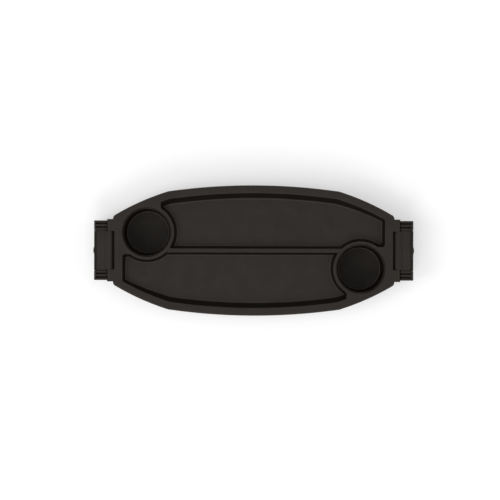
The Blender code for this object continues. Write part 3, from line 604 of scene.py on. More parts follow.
def paint_wall_shade_and_edge_highlights(mesh, rise, bore=0.0):
    """Attributes of painted shade, 1 on steep walls that lean open, and of painted highlight, 1 on
    eased edges, and 0 elsewhere.

    Each grows and falls with the height of the normal, which goes from 0 on an upright wall to 1
    on a flat. rise is the height from which a wall counts as leaning open. Nearer than bore to a
    cup's axis, the eased edges get the walls' painted shade instead of painted highlight.
    """
    normals = np.empty(3 * len(mesh.loops))
    mesh.corner_normals.foreach_get("vector", normals)
    points = np.empty(3 * len(mesh.vertices))
    mesh.vertices.foreach_get("co", points)
    corners = np.empty(len(mesh.loops), int)
    mesh.loops.foreach_get("vertex_index", corners)
    flat = points.reshape(-1, 3)[corners, :2]
    near = np.minimum(*(np.hypot(*(flat - centre).T) for centre in (CUP, -CUP))) < bore
    start = (rise, 1.5 * rise)
    edges, walls, whole = (
        np.interp(normals[2::3], ramp, (0.0, 1.0, 1.0, 0.0))
        for ramp in (EDGE_START + EDGE_STOP, start + WALL_STOP, start + EDGE_STOP)
    )
    # Shares of painted shade and painted highlight at each face corner
    shares = {"inner_wall": np.where(near, whole, walls), "eased_edge": np.where(near, 0.0, edges)}
    for name, share in shares.items():
        mesh.attributes.new(name, "FLOAT", "CORNER").data.foreach_set("value", share)


def extruded(skin, section, low, high, edges, place):
    """A closed section carried straight from low to high, with its two ends rounded.

    At an end the section draws in by edge * (1 - sine) while it runs on by edge * (1 - cosine).
    edges are the radii of the two ends.
    """
    rows = []
    for end, way, edge in ((low, 1.0, edges[0]), (high, -1.0, edges[1])):
        turns = [(draw, end + way * run) for draw, run in eased(edge)]
        part = [(FLAT_START * edge, end)] + turns if edge else [(0.0, end)]
        rows += part if way > 0 else part[::-1]
    rings = [place(offset_loop(section, draw), at) for draw, at in rows]
    skin.strip(rings)
    for draw, at in (rows[0], rows[-1]):
        skin.fill([offset_loop(section, draw)], lambda flat, at=at: place(flat, at))


def block(skin, low, high, corner, edges):
    """An upright block with rounded corners, whose top and bottom edges are rounded too."""
    extruded(skin, rounded_loop(rectangle(low, high), corner), low[2], high[2], edges, level)


def plate(skin, rim, holes, low, high, edge):
    """A level plate with a rounded rim and straight holes."""
    rows = [(FLAT_START * edge, low)] + [(draw, low + run) for draw, run in eased(edge)]
    rows += [(draw, low + high - z) for draw, z in rows[::-1]]
    skin.strip([level(offset_loop(rim, draw), z) for draw, z in rows])
    for hole in holes:
        skin.strip([level(hole, low), level(hole, high)])
    for z in (low, high):
        skin.fill_level([offset_loop(rim, FLAT_START * edge), *holes], z)


def lathe(skin, profile, centre, steps=ROUND_STEPS, closed=False):
    """A profile of radius and height turned about an upright axis."""
    angles = full_turn(steps)
    profile = np.array(profile)
    x = centre[0] + profile[:, :1] * np.cos(angles)
    y = centre[1] + profile[:, :1] * np.sin(angles)
    skin.strip(np.stack((x, y, np.repeat(profile[:, 1:], steps, axis=1)), -1), closed)


def eye(skin, section, bore, low, high, edges):
    """A knuckle round the hinge pin: a section and its bore, joined by rays from the pin's axis.

    The rings run out over one end, along the outside, back over the other end and through the
    bore, so the surface closes on itself. edges are the rounding radii of the two ends.
    """
    angles = np.arctan2(section[:, 1] - HINGE_Z, section[:, 0] - HINGE_X)
    hole = HINGE + bore * rays(angles)
    first, last = edges
    rows = [(first + 0.0001, low)]
    rows += [(draw, low + run) for draw, run in eased(first)]
    rows += [(draw, high - run) for draw, run in eased(last)[::-1]]
    rows += [(last + 0.0001, high)]
    rings = [across(offset_loop(section, draw), y) for draw, y in rows]
    skin.strip([across(hole, low), *rings, across(hole, high)], closed=True)


def knuckle(radius, top, start=0.0, end=360.0, count=PIN_STEPS):
    """Points about the hinge axis, counter-clockwise, whose upper half is as high as top says."""
    angles = np.radians(np.linspace(start, end, count + 1))
    height = np.where(np.sin(angles) > 0.0, top, radius)
    return HINGE + rays(angles) * np.stack((np.full(count + 1, radius), height), 1)


# Tray


def side_edge():
    """The tray's long back side, an arc about a point on the Y axis."""
    return arc((0.0, SIDE_Y - SIDE_RADIUS), SIDE_RADIUS)


def angled_edges():
    """The upper left and lower left angled sides, through the outline's sharp corners."""
    bend_y = SIDE_Y - SIDE_RADIUS + math.sqrt(SIDE_RADIUS**2 - BEND_X**2)
    upper = arc_through((-BEND_X, bend_y), (-END_X, END_HALF), ANGLED_RADIUS)
    lower = arc_through((-END_X, -END_HALF), (-BEND_X, -bend_y), ANGLED_RADIUS)
    return upper, lower


def outer_ring(main, end, notch, height):
    """The tray's outline with its sides, ends and notches moved in by their own distances."""
    upper, lower = angled_edges()
    end_line = line((-END_X, 0.0), (1.0, 0.0))
    edges = [
        inset(side_edge(), main),
        inset(upper, main),
        inset(end_line, end),
        inset(line((0.0, NOTCH_HALF), (0.0, 1.0)), notch),
        inset(line((-END_X + NOTCH_DEPTH, 0.0), (1.0, 0.0)), notch),
        inset(line((0.0, -NOTCH_HALF), (0.0, -1.0)), notch),
        inset(end_line, end),
        inset(lower, main),
    ]
    nears = [(-BEND_X, SIDE_Y), (-END_X, END_HALF), (-END_X, NOTCH_HALF)]
    nears += [(-END_X + NOTCH_DEPTH, NOTCH_HALF), (-END_X + NOTCH_DEPTH, -NOTCH_HALF)]
    nears += [(-END_X, -NOTCH_HALF), (-END_X, -END_HALF), (-BEND_X, -SIDE_Y)]
    bend = max(OUTLINE_FILLET - main, LEAST_BEND)
    outer, inner = (share * (NOTCH_DEPTH + notch - end) for share in NOTCH_BENDS)
    radii = [bend, bend, outer, inner, inner, outer, bend, bend]
    steps = (72, 20, 3, 2, 24, 2, 3, 20)
    pieces = outline(
        edges + [half_turned(edge) for edge in edges],
        nears + [(-x, -y) for x, y in nears],
        radii * 2,
        steps * 2,
        (BEND_STEPS,) * 16,
    )
    return level(np.vstack(pieces), height)


def skirt_rings(sizes):
    """Rings from under the rim, down inside the skirt, round its foot, up and over the rim."""
    inner = SKIRT_DRAFT + sizes.wall
    under = RIM_Z - sizes.wall
    turn_z = RIM_Z - sizes.rim_drop
    path = [(inner + 0.003, under), (inner, under), (inner, SKIRT_Z), (SKIRT_DRAFT, SKIRT_Z)]
    path = rounded(path + [(0.0, turn_z)], (0.0012, 0.0007, 0.0007))
    rows = [(x, x, x * sizes.wall / inner, z) for x, z in path]
    for c, s in quarter(8)[1:]:
        drawn = 0.4 * sizes.edge * (1 - c)
        rows.append((sizes.rim_bevel * (1 - c), drawn, drawn, turn_z + sizes.rim_drop * s))
    rows.append((sizes.rim_bevel + 0.001, 0.001, 0.001, RIM_Z))
    return [outer_ring(*row) for row in rows]


def pocket_edges(share, ridge_half, out):
    """Edges and corners of the back pocket at a share of the way down from the rim to the floor.

    They run counter-clockwise from the ridge: right collar, shelf, end, right angled side, long
    side, left angled side, shelf, left collar. out moves all but the ridge outward.
    """
    _, lower = angled_edges()
    right = half_turned(lower)
    side = inset(side_edge(), RIM_WIDTH + SIDE_RUN * share)
    end_x = END_X - END_RIM_WIDTH - END_RUN * share
    end = line((end_x, 0.0), (-1.0, 0.0))
    bend = meeting(inset(right, RIM_WIDTH + SIDE_RUN * share), side, (BEND_X, SIDE_Y))
    corner = meeting(inset(right, RIM_WIDTH + END_RUN * share), end, (END_X, END_HALF))
    mirror = np.array((-1.0, 1.0))
    shelf_x = CUP[0] + SHELF_EDGE_X
    shelf_y = -CUP[1] + SHELF_EDGE_Y
    collar = COLLAR + SHELF_RUN * share
    free = [
        arc(-CUP, collar, -1),
        line((0.0, shelf_y + SHELF_RUN * share), (0.0, 1.0)),
        end,
        arc_through(corner, bend, ANGLED_RADIUS),
        side,
        arc_through(bend * mirror, corner * mirror, ANGLED_RADIUS),
        line((shelf_x + SHELF_RUN * share, 0.0), (1.0, 0.0)),
        arc(CUP, collar, -1),
    ]
    edges = [line((0.0, ridge_half), (0.0, 1.0))] + [inset(edge, -out) for edge in free]
    ridge_x = -CUP[0] - math.sqrt(COLLAR**2 - CUP[1] ** 2)
    nears = [
        (ridge_x, ridge_half),
        (-CUP[0] + math.sqrt(COLLAR**2 - SHELF_EDGE_Y**2), shelf_y),
        (end_x, shelf_y),
        corner,
        bend,
        bend * mirror,
        (shelf_x, bend[1]),
        (shelf_x, CUP[1] + math.sqrt(COLLAR**2 - SHELF_EDGE_X**2)),
        (-ridge_x, ridge_half),
    ]
    return edges, nears


def pocket_ring(sizes, height, ridge_half, out):
    """The back pocket's outline in two parts: along the ridge, and all the rest.

    Near the floor the short shelf edge beside the left cup is used up by its two corners. It is
    then left out, and one bend stands in for it and them, with the same count of points.
    """
    share = min((RIM_Z - height) / (RIM_Z - FLOOR_Z), 1.0)
    edges, nears = pocket_edges(share, ridge_half, out)
    wide = max(sizes.corner + out, LEAST_CORNER)
    room = inscribed_radius(edges[6:9], nears[6])
    tight = min(wide, 0.95 * room)
    radii = [RIDGE_CORNER, wide, wide, wide, wide, wide, tight, tight, RIDGE_CORNER]
    steps = [48, 32, 6, 16, 20, 72, 4, 6, 32]
    bends = [BEND_STEPS] * 9
    if room < 1.2 * LEAST_CORNER:
        bends[6] += BEND_STEPS + steps[7]
        radii[6] = LEAST_CORNER
        for row in (edges, nears, radii, steps, bends):
            del row[7]
    pieces = outline(edges, nears, radii, steps, bends)
    along = np.vstack((pieces[-1], pieces[0], pieces[1]))
    return level(along, height), level(np.vstack(pieces[2:-1]), height)


def whole_basin(sizes, height, out):
    """The whole basin's edge above the ridge, and the parts that bound the ridge's top."""
    along, rest = pocket_ring(sizes, height, RIDGE_HALF - sizes.edge, out)
    flip = np.array((-1.0, -1.0, 1.0))
    link = turn(CUP, along[0][:2], (along[-1] * flip)[:2], 8, True)[1:-1]
    link = level(link, height)
    back = np.vstack((along[-1:], rest, along[:1]))
    top = np.vstack((along, (link * flip)[::-1], along * flip, link[::-1]))
    return np.vstack((back, link, back * flip, link * flip)), top


def basin(skin, sizes):
    """The basin's walls, ridge and floor. Returns the loop where the walls leave the rim."""
    edge, fillet = sizes.edge, sizes.floor_fillet
    rows = [(RIM_Z, RIM_FLAT_START * edge)]
    rows += [(RIM_Z - run, draw) for draw, run in eased(edge)]
    rows += [(RIDGE_Z, 0.0)]
    rings = [whole_basin(sizes, z, out)[0] for z, out in rows]
    skin.strip(rings)
    skin.fill_level([whole_basin(sizes, RIDGE_Z, 0.0)[1][:, :2]], RIDGE_Z)

    top = RIDGE_Z - edge
    steep = RIDGE_RUN / (top - FLOOR_Z)
    rows = [(RIDGE_Z - run, RIDGE_HALF - draw, 0.0) for draw, run in eased(edge)]
    levels = np.linspace(top, FLOOR_Z + fillet, 6)[1:]
    rows += [(z, RIDGE_HALF + steep * (top - z), 0.0) for z in levels]
    for c, s in quarter(6)[1:]:
        z, drawn = FLOOR_Z + fillet * (1 - s), fillet * (1 - c)
        rows.append((z, RIDGE_HALF + steep * (top - z) + drawn, -drawn))
    rows.append((FLOOR_Z, rows[-1][1] + fillet / 4, -1.25 * fillet))
    half = Skin()
    pocket = [np.vstack(pocket_ring(sizes, *row)) for row in rows]
    half.strip(pocket)
    half.fill_level([pocket[-1][:, :2]], FLOOR_Z)
    skin.both(half)
    return rings[0]


def basin_underside(skin, sizes):
    """The basin's outer walls and the underside of its floor, with the groove under the ridge."""
    wall = sizes.wall
    rows = [(z, wall) for z in np.linspace(RIM_Z - wall, FLOOR_Z, 6)]
    rows += [(FLOOR_Z - wall * s, wall * c) for c, s in quarter()[1:]]
    rows += [(FLOOR_Z - wall, -GAP)]
    rings = [whole_basin(sizes, z, out)[0] for z, out in rows]
    skin.strip(rings)
    base, crest = RIDGE_HALF + RIDGE_RUN - wall, RIDGE_HALF - wall / 2
    reach = math.sqrt((COLLAR + SHELF_RUN) ** 2 - (CUP[1] - base) ** 2)
    long = -CUP[0] - reach - wall
    low, high = FLOOR_Z - wall, RIDGE_Z - wall
    rows = [(base + 0.0006, low), (base, low + 0.0006), (crest, high - 0.0005)]
    rows += [(crest - 0.0005, high)]
    corners = [rounded_loop(rectangle((-long, -half), (long, half)), 0.0012) for half, _ in rows]
    skin.strip([level(loop, z) for loop, (_, z) in zip(corners, rows)])
    skin.fill_level([corners[-1]], high)
    skin.fill_level([rings[-1][:, :2], corners[0]], low)
    return rings[0]


def post(skin, place, low, high):
    """A boss for a screw: a ring that stands down from the tray, embedded at its top."""
    section = rounded_loop(rectangle((SCREW + GAP, low), (BOSS, high)), GAP)
    lathe(skin, section, place, BOSS_STEPS, closed=True)


def cup_screw_places():
    """Screw centres round the left cup."""
    return CUP + EAR_OFFSET * rays(np.radians(EAR_ANGLES))


def hook_screw_places():
    """Screw centres of the right hook, from front to back."""
    ys = sorted((*HOOK_SCREW_YS, *(-y for y in HOOK_SCREW_YS)))
    return np.array([(HOOK_SCREW_X, y) for y in ys])


def tray_mesh(sizes):
    """The tray as one mesh: rim, skirt and basin, with its pipes, bosses and hinge lugs set in."""
    skin = Skin()
    edge = sizes.edge
    under = RIM_Z - sizes.wall
    skirt = skirt_rings(sizes)
    skin.strip(skirt)
    basin_top = basin(skin, sizes)
    basin_under = basin_underside(skin, sizes)

    half = Skin()
    rows = [(BORE + RIM_FLAT_START * edge, RIM_Z)]
    rows += [(BORE + draw, RIM_Z - run) for draw, run in eased(edge)]
    rows += [(BORE, under)]
    bore = [circle(CUP, radius) for radius, _ in rows]
    half.strip([level(ring, z) for ring, (_, z) in zip(bore, rows)])
    pipe = rounded_loop(rectangle((BORE + HAIR, PIPE_Z), (PIPE, under + SINK)), 0.0004)
    lathe(half, pipe, CUP, closed=True)
    for place, degrees in zip(cup_screw_places(), EAR_ANGLES):
        top = under + SINK if degrees == EAR_ANGLES[1] else FLOOR_Z - sizes.wall / 2
        post(half, place, FLANGE_Z + FLANGE + GAP, top)
    for place in -hook_screw_places():
        post(half, place, SKIRT_Z, under + SINK)
    skin.both(half)
    skin.fill_level([skirt[-1][:, :2], basin_top[:, :2], bore[0], -bore[0]], RIM_Z)
    skin.fill_level([skirt[0][:, :2], basin_under[:, :2], bore[-1], -bore[-1]], under)

    lugs = Skin()
    nose = knuckle(KNUCKLE, RIM_Z - HAIR - HINGE_Z, -90.0, 90.0, 24)
    root = END_X - 0.0028
    back = [nose[-1], (root, nose[-1][1]), (root, nose[0][1]), nose[0]]
    section = np.vstack((nose, rounded(back, 0.0009)[1:-1]))
    ends = (sizes.small_edge, sizes.small_edge)
    eye(lugs, section, PIN + GAP, NOTCH_HALF + HAIR, LUG_OUTER, ends)
    eye(lugs, section, PIN + GAP, -LUG_OUTER, -NOTCH_HALF - HAIR, ends)
    skin.both(lugs)
    made = skin.mesh("moulded_tray")
    # Painted shade on the basin's walls and round the cup bores, painted highlight on the tray's
    # eased edges
    paint_wall_shade_and_edge_highlights(made, 0.1, BORE + 1.05 * edge)
    return made


# Cup wells


def cup_mesh(sizes):
    """The left cup well: a turned bowl, and a flange with three screw ears.

    The flange's radius is its own plus the ears' reach times exp(-(degrees from an ear / the
    ears' spread)^4).
    """
    wall, edge = sizes.wall, sizes.edge
    ring = BORE - GAP
    mouth = MOUTH + wall
    path = [(0.0, CUP_FLOOR_Z), (CUP_FLOOR_RADIUS, CUP_FLOOR_Z), (MOUTH + LAND, RING_FOOT_Z)]
    path += [(ring - LAND, LEDGE_Z), (ring, LEDGE_Z), (ring, RING_FOOT_Z)]
    path += [(mouth, RING_FOOT_Z - edge), (CUP_FLOOR_RADIUS + wall, 0.0), (0.0, 0.0)]
    profile = rounded(path, (0.0024, 0.0200, 0.0006, 0.0003, 0.0006, 0.0008, 0.0016))
    skin = Skin()
    lathe(skin, profile, CUP)
    angles = full_turn(3 * ROUND_STEPS)
    ears = np.radians(EAR_ANGLES)[:, None]
    away = np.degrees(np.abs((angles - ears + math.pi) % math.tau - math.pi)).min(axis=0)
    reach = EAR_OFFSET + EAR_RADIUS - FLANGE_RADIUS
    radius = FLANGE_RADIUS + reach * np.exp(-((away / EAR_SPREAD) ** 4))
    rim = CUP + radius[:, None] * rays(angles)
    holes = [circle(place, SCREW + GAP, HOLE_STEPS) for place in cup_screw_places()]
    holes.append(circle(CUP, mouth - wall / 2))
    plate(skin, rim, holes, FLANGE_Z, FLANGE_Z + FLANGE, FINE_EDGE)
    made = skin.mesh("cup_well")
    # Painted shade on the well's inner walls, painted highlight on the fillet round its floor
    paint_wall_shade_and_edge_highlights(made, 0.008)
    return made


# Rail hooks


def rib_comb():
    """A pack's outline from above: an outer bar with three ribs that run in from it."""
    pitch = (HOOK_HALF - PACK_HALF + GROOVE) / 3
    comb = rectangle((PACK_X, PACK_HALF), (HOOK_END, HOOK_HALF))
    for k in (2, 1):
        start = PACK_HALF + k * pitch
        comb += [(PACK_X, start), (CHANNEL_OUT, start)]
        comb += [(CHANNEL_OUT, start - GROOVE), (PACK_X, start - GROOVE)]
    return rounded_loop(comb, RIB_CORNER)


def hook_mesh(sizes):
    """The right hook: screw flange, saddle over the rail, and a ribbed pack on each side."""
    skin = Skin()
    small = sizes.small_edge
    flange_top = SKIRT_Z - GAP
    far = (LEG_BACK + 0.002, HOOK_HALF)
    rim = rounded_loop(rectangle((HOOK_LOW[0], -HOOK_HALF), far), 0.0018)
    holes = [circle(place, SCREW + GAP, HOLE_STEPS) for place in hook_screw_places()]
    plate(skin, rim, holes, flange_top - HOOK_FLANGE, flange_top, FINE_EDGE)

    web_end = HOOK_END - 0.0035
    saddle = [(LEG_BACK, HOOK_LOW[2]), (CHANNEL_IN, HOOK_LOW[2]), (CHANNEL_IN, SKIRT_Z)]
    saddle += [(web_end, SKIRT_Z), (web_end, WEB_TOP), (END_X + GAP, WEB_TOP)]
    saddle += [(END_X + GAP, flange_top - GAP), (LEG_BACK, flange_top - GAP)]
    radii = (0.0012, 0.0012, 0.0015, 0.0012, 0.0012, 0.0009, 0.0005, 0.0007)
    half = HOOK_HALF - HAIR
    extruded(skin, rounded_loop(saddle, radii), -half, half, (small, small), across)

    comb = rib_comb()
    for side in (1, -1):
        teeth = comb if side > 0 else (comb * (1.0, -1.0))[::-1]
        extruded(skin, teeth, SKIRT_Z + GAP, HOOK_HIGH[2], (0.0, 0.0007), level)
        near, away = sorted((side * (PACK_HALF + HAIR), side * (HOOK_HALF - 2 * HAIR)))
        low = (PACK_X + HAIR, near, SKIRT_Z + 2 * GAP)
        block(skin, low, (CHANNEL_OUT + SINK, away, GROOVE_Z), 0.001, (0.0, 0.0))
        near, away = sorted((side * (LEVER_HALF + 3 * HAIR), side * (HOOK_HALF - 2 * HAIR)))
        low = (CHANNEL_OUT, near, HOOK_LOW[2])
        block(skin, low, (HOOK_END - HAIR, away, WEB_TOP + SINK), RIB_CORNER, (small, 0.0))
    stop_x = HINGE_X + SPRING_RADIUS + SPRING_WIRE / 2 + GAP
    stop_y = -SPRING_TURNS * SPRING_PITCH / 2
    high = (stop_x + 0.0016, stop_y + 0.0016, HINGE_Z - SPRING_RADIUS - SPRING_WIRE)
    block(skin, (stop_x, stop_y - 0.0016, WEB_TOP - SINK), high, FINE_EDGE, (0.0, GAP))
    return skin.mesh("rail_hook")


def pad_mesh():
    """The right back pad: an upside-down U in the hook's channel."""
    wall = PAD_WALL
    (left, low, foot_z), (right, high, top) = PAD_LOW, PAD_HIGH
    section = [(left, foot_z), (left + wall, foot_z), (left + wall, top - wall)]
    section += [(right - wall, top - wall), (right - wall, foot_z), (right, foot_z)]
    section += [(right, top), (left, top)]
    radii = (0.0008, 0.0008, 0.0018, 0.0018, 0.0008, 0.0008, 0.0012, 0.0012)
    skin = Skin()
    extruded(skin, rounded_loop(section, radii), low, high, (FINE_EDGE, FINE_EDGE), across)
    return skin.mesh("rail_pad")


# Latch levers


def lever_body(skin, sizes):
    """Plate, outer lip, outer wall and claw, as one section carried along the lever."""
    rail_z = SEAT_Z - RAIL_RADIUS
    around = rays(np.radians(np.linspace(-8.0, -62.0, 14)))
    claw = (RAIL_X, rail_z) + (RAIL_RADIUS + 0.0004) * around
    wall_in = HOOK_END - 0.003
    lip_x, lip_z = HOOK_END - 0.0018, RIM_Z - 0.0006
    groove_x, groove_z = lip_x - 0.0026, PLATE_Z - 0.0022
    plate_low = PLATE_Z - PLATE
    start = PACK_X + 0.0005
    low_z = LEVER_LOW[2]
    upper = [(start, plate_low), (wall_in - 0.003, plate_low)]
    upper += [(wall_in, plate_low - 0.003), (wall_in, claw[0][1] + 0.003)]
    lower = [(claw[-1][0], claw[-1][1] - 0.001), (claw[-1][0] + 0.0055, low_z)]
    lower += [(HOOK_END, low_z), (HOOK_END, lip_z), (lip_x, lip_z), (lip_x, groove_z)]
    lower += [(groove_x, groove_z), (groove_x, PLATE_Z), (start, PLATE_Z)]
    head = rounded([(start, PLATE_Z), *upper, claw[0]], (0.0009, 0.004, 0.004, 0.003))[1:-1]
    radii = (0.0007, 0.0012, 0.0012, 0.0008, 0.0008, GAP, GAP, 0.0008, 0.0009)
    tail = rounded([claw[-1], *lower, (start, plate_low)], radii)[1:-1]
    section = np.vstack((head, claw, tail))
    small = sizes.small_edge
    extruded(skin, section, -LEVER_HALF, LEVER_HALF, (small, small), across)


def lever_knuckles(skin):
    """The knuckles on the pin, the slope down to the plate, and the roof over the spring."""
    half = NOTCH_HALF - 2 * HAIR
    inner = 0.0040
    slope_end = HINGE_X + 0.0093
    top = HINGE_Z + KNUCKLE
    low = PLATE_Z - PLATE + 0.0001
    ring = knuckle(KNUCKLE, KNUCKLE)[:-1]
    eye(skin, ring, PIN + GAP, WINDOW, half, (0.0001, 0.0022))
    eye(skin, ring, PIN + GAP, -half, -WINDOW, (0.0022, 0.0001))
    slope = [(HINGE_X + KNUCKLE, low), (slope_end + 0.002, low)]
    slope += [(slope_end + 0.001, PLATE_Z - 0.0008), (slope_end, PLATE_Z)]
    slope += [(HINGE_X + 0.0035, top - 0.0001), (HINGE_X, top - HAIR)]
    wedge = np.vstack((knuckle(inner, inner, 0.0, 90.0, 12)[::-1], slope))
    extruded(skin, wedge, -half, half, (0.0002, 0.0002), across)
    outside = knuckle(KNUCKLE - HAIR, KNUCKLE - HAIR, 88.0, 180.0, 12)
    roof = np.vstack((outside, knuckle(inner, inner, 88.0, 180.0, 12)[::-1]))
    extruded(skin, roof, -WINDOW - GAP, WINDOW + GAP, (0.0, 0.0), across)


def lever_ribs(skin):
    """Four three-cornered ribs under the plate, and the shelf that the spring presses on."""
    outer = HOOK_END - 0.0015
    high = PLATE_Z - PLATE / 2
    rib = [(HINGE_X + 0.0093, high), (outer, WEB_TOP + 0.0005), (outer, high)]
    rib = rounded_loop(rib, 0.0006)
    for y in LEVER_RIB_YS:
        extruded(skin, rib, y - LEVER_RIB_HALF, y + LEVER_RIB_HALF, (GAP, GAP), across)
    leg_y = SPRING_TURNS * SPRING_PITCH / 2
    shelf_z = HINGE_Z - SPRING_RADIUS - SPRING_WIRE / 2 - GAP
    beside = leg_y + SPRING_WIRE / 2 + GAP
    start, end = HINGE_X + SPRING_OUT / 2, HINGE_X + SPRING_OUT
    thick = 0.0016
    low = (start, leg_y - SPRING_WIRE, shelf_z - thick)
    block(skin, low, (end, beside + thick, shelf_z), FINE_EDGE, (GAP, GAP))
    low = (start + HAIR, beside, shelf_z - thick + GAP)
    block(skin, low, (end - HAIR, beside + thick - HAIR, high), FINE_EDGE, (0.0, 0.0))


def lever_mesh(sizes):
    """The right lever: knuckles on the pin, sloped top, plate, wall, claw, ribs and finger lip.

    The lip's nose is an arc over the lip's width that stands out by the lip's reach, so its
    radius is (half the width^2 + reach^2) / (2 reach).
    """
    skin = Skin()
    lever_body(skin, sizes)
    lever_knuckles(skin)
    lever_ribs(skin)
    reach = LEVER_HIGH[0] - HOOK_END
    radius = (FINGER_HALF**2 + reach**2) / (2 * reach)
    spread = math.asin(FINGER_HALF / radius)
    around = rays(np.linspace(-spread, spread, 32))
    nose = (LEVER_HIGH[0] - radius, 0.0) + radius * around
    root = HOOK_END - 0.0026
    back = [nose[-1], (root, FINGER_HALF), (root, -FINGER_HALF), nose[0]]
    tip = np.vstack((nose, rounded(back, RIB_CORNER)[1:-1]))
    low = LEVER_LOW[2] + FINGER_LOW
    ends = (0.0008, 0.0008)
    extruded(skin, tip, low, low + FINGER_HIGH, ends, level)
    return skin.mesh("latch_lever")


# Pins, springs and screws


def pin_mesh():
    """The right hinge pin: a profile of radius and distance turned about the hinge axis."""
    end = LUG_OUTER - GAP
    profile = rounded([(0.0, -end), (PIN, -end), (PIN, end), (0.0, end)], PIN / 4)
    angles = full_turn(PIN_STEPS)
    x = HINGE_X + profile[:, :1] * np.cos(angles)
    z = HINGE_Z + profile[:, :1] * np.sin(angles)
    skin = Skin()
    skin.strip(np.stack((x, np.repeat(profile[:, 1:], PIN_STEPS, axis=1), z), -1))
    return skin.mesh("hinge_pin")


def spring_path():
    """The wire's middle line, up the lower leg, round the coil and out, and its thickness.

    The coil's point at angle a is (radius cos a, pitch a / one turn, radius sin a) from the
    hinge. The wire's radius grows from nothing in a quarter circle at each end.
    """
    length = SPRING_TURNS * SPRING_PITCH
    angles = np.linspace(0.0, math.tau * SPRING_TURNS, round(SPRING_TURNS * SPRING_STEPS) + 1)
    along = SPRING_PITCH * angles / math.tau - length / 2
    coil = np.stack((SPRING_RADIUS * np.cos(angles), along, SPRING_RADIUS * np.sin(angles)), 1)
    wire = SPRING_WIRE / 2
    cosines, sines = np.array(quarter()).T
    tip = wire * (1 - cosines)
    rise = np.concatenate((tip, np.linspace(wire, SPRING_DOWN, 12)[1:-1])) - SPRING_DOWN
    lower = coil[0] + rise[:, None] * (0.0, 0.0, 1.0)
    out = np.concatenate((np.linspace(0.0, SPRING_OUT - wire, 12)[1:-1], SPRING_OUT - tip[::-1]))
    outer = coil[-1] + out[:, None] * (1.0, 0.0, 0.0)
    path = np.vstack((lower, coil, outer)) + (HINGE_X, 0.0, HINGE_Z)
    thick = np.full(len(path), wire)
    thick[: len(tip)] = wire * sines
    thick[-len(tip) :] = wire * sines[::-1]
    return path, thick


def spring_mesh():
    """The right spring: a round wire carried along its path.

    Each ring is spanned by the Y axis squared up to the path, and by the path's direction
    crossed with it.
    """
    path, thick = spring_path()
    ahead = np.gradient(path, axis=0)
    ahead /= np.linalg.norm(ahead, axis=1, keepdims=True)
    first = np.array((0.0, 1.0, 0.0)) - ahead[:, 1:2] * ahead
    first /= np.linalg.norm(first, axis=1, keepdims=True)
    second = np.cross(ahead, first)
    turns = full_turn(WIRE_STEPS)[:, None]
    spread = first[:, None] * np.cos(turns) + second[:, None] * np.sin(turns)
    skin = Skin()
    skin.strip(path[:, None] + thick[:, None, None] * spread)
    return skin.mesh("latch_spring", 60.0)


def screw_mesh(place, seat):
    """A pan-head screw, shank up: thread, head and a cross recess.

    The thread's radius is the core plus a wave of height and angle, one turn for each pitch. The
    head's face is a polar grid, sunk by a smooth step wherever a point lies within the cross.
    """
    angles = full_turn(SCREW_STEPS)
    spread = np.zeros_like(angles)
    heights = np.linspace(SCREW_LENGTH - 0.0018, 0.0006, 64)
    turns = math.tau * heights[:, None] / THREAD_PITCH
    thread = SCREW - THREAD_DEPTH / 2 * (1 - np.cos(turns - angles))
    tip = np.array(((0.0, SCREW_LENGTH), (0.0003, SCREW_LENGTH), (0.0010, SCREW_LENGTH - 0.0009)))
    neck = SCREW - 0.0002
    head = [(neck, GAP), (neck, 0.0), (SCREW_HEAD_RADIUS, 0.0), (SCREW_HEAD_RADIUS, -0.0011)]
    head = rounded(head + [(0.0024, -SCREW_HEAD), (0.0021, -SCREW_HEAD)], (1e-4, 2e-4, 8e-4, 6e-4))
    face = np.linspace(0.0020, 0.0, 22)[:, None] + spread
    x, y = np.abs(face * np.cos(angles)), np.abs(face * np.sin(angles))
    arms = (
        np.clip((CROSS_LENGTH - a) / 0.0004, 0.0, 1.0)
        * np.clip((CROSS_HALF - b) / 0.00025, 0.0, 1.0)
        for a, b in ((x, y), (y, x))
    )
    cross = np.maximum(*arms)
    sunk = -SCREW_HEAD + CROSS_DEPTH * cross * cross * (3 - 2 * cross)
    radii = np.vstack((tip[:, :1] + spread, thread, head[:, :1] + spread, face))
    rise = np.vstack(
        (tip[:, 1:] + spread, heights[:, None] + spread, head[:, 1:] + spread, sunk)
    )
    x, y = place[0] + radii * np.cos(angles), place[1] + radii * np.sin(angles)
    skin = Skin()
    skin.strip(np.stack((x, y, seat + rise), -1))
    return skin.mesh("screw", 50.0)


# Materials


def feed(tree, node, inputs):
    """Links each of a node's inputs to a socket, or sets it to a value."""
    for word, value in inputs.items():
        if isinstance(value, bpy.types.NodeSocket):
            tree.links.new(value, node.inputs[word])
        else:
            node.inputs[word].default_value = value


def add_node(tree, kind, inputs, **settings):
    """A shader node with its settings made and its inputs fed."""
    made = tree.nodes.new("ShaderNode" + kind)
    for word, value in settings.items():
        setattr(made, word, value)
    feed(tree, made, inputs)
    return made


def new_material(name):
    """A material, its node tree and its main shader."""
    made = bpy.data.materials.new(name)
    made.use_nodes = True
    return made, made.node_tree, made.node_tree.nodes["Principled BSDF"]


def own_place(tree):
    """The piece's own coordinates."""
    return add_node(tree, "TexCoord", {}).outputs["Object"]


def noise(tree, size, detail, low, high, distortion=0.0):
    """Noise on the piece's own coordinates with features of a size, mapped from low to high."""
    grain = {"Scale": 1.0 / size, "Detail": detail, "Distortion": distortion}
    made = add_node(tree, "TexNoise", {**grain, "Vector": own_place(tree)})
    span = {"From Min": 0.3, "From Max": 0.7, "To Min": low, "To Max": high}
    spread = add_node(tree, "MapRange", {**span, "Value": made.outputs["Fac"]})
    return spread.outputs["Result"]


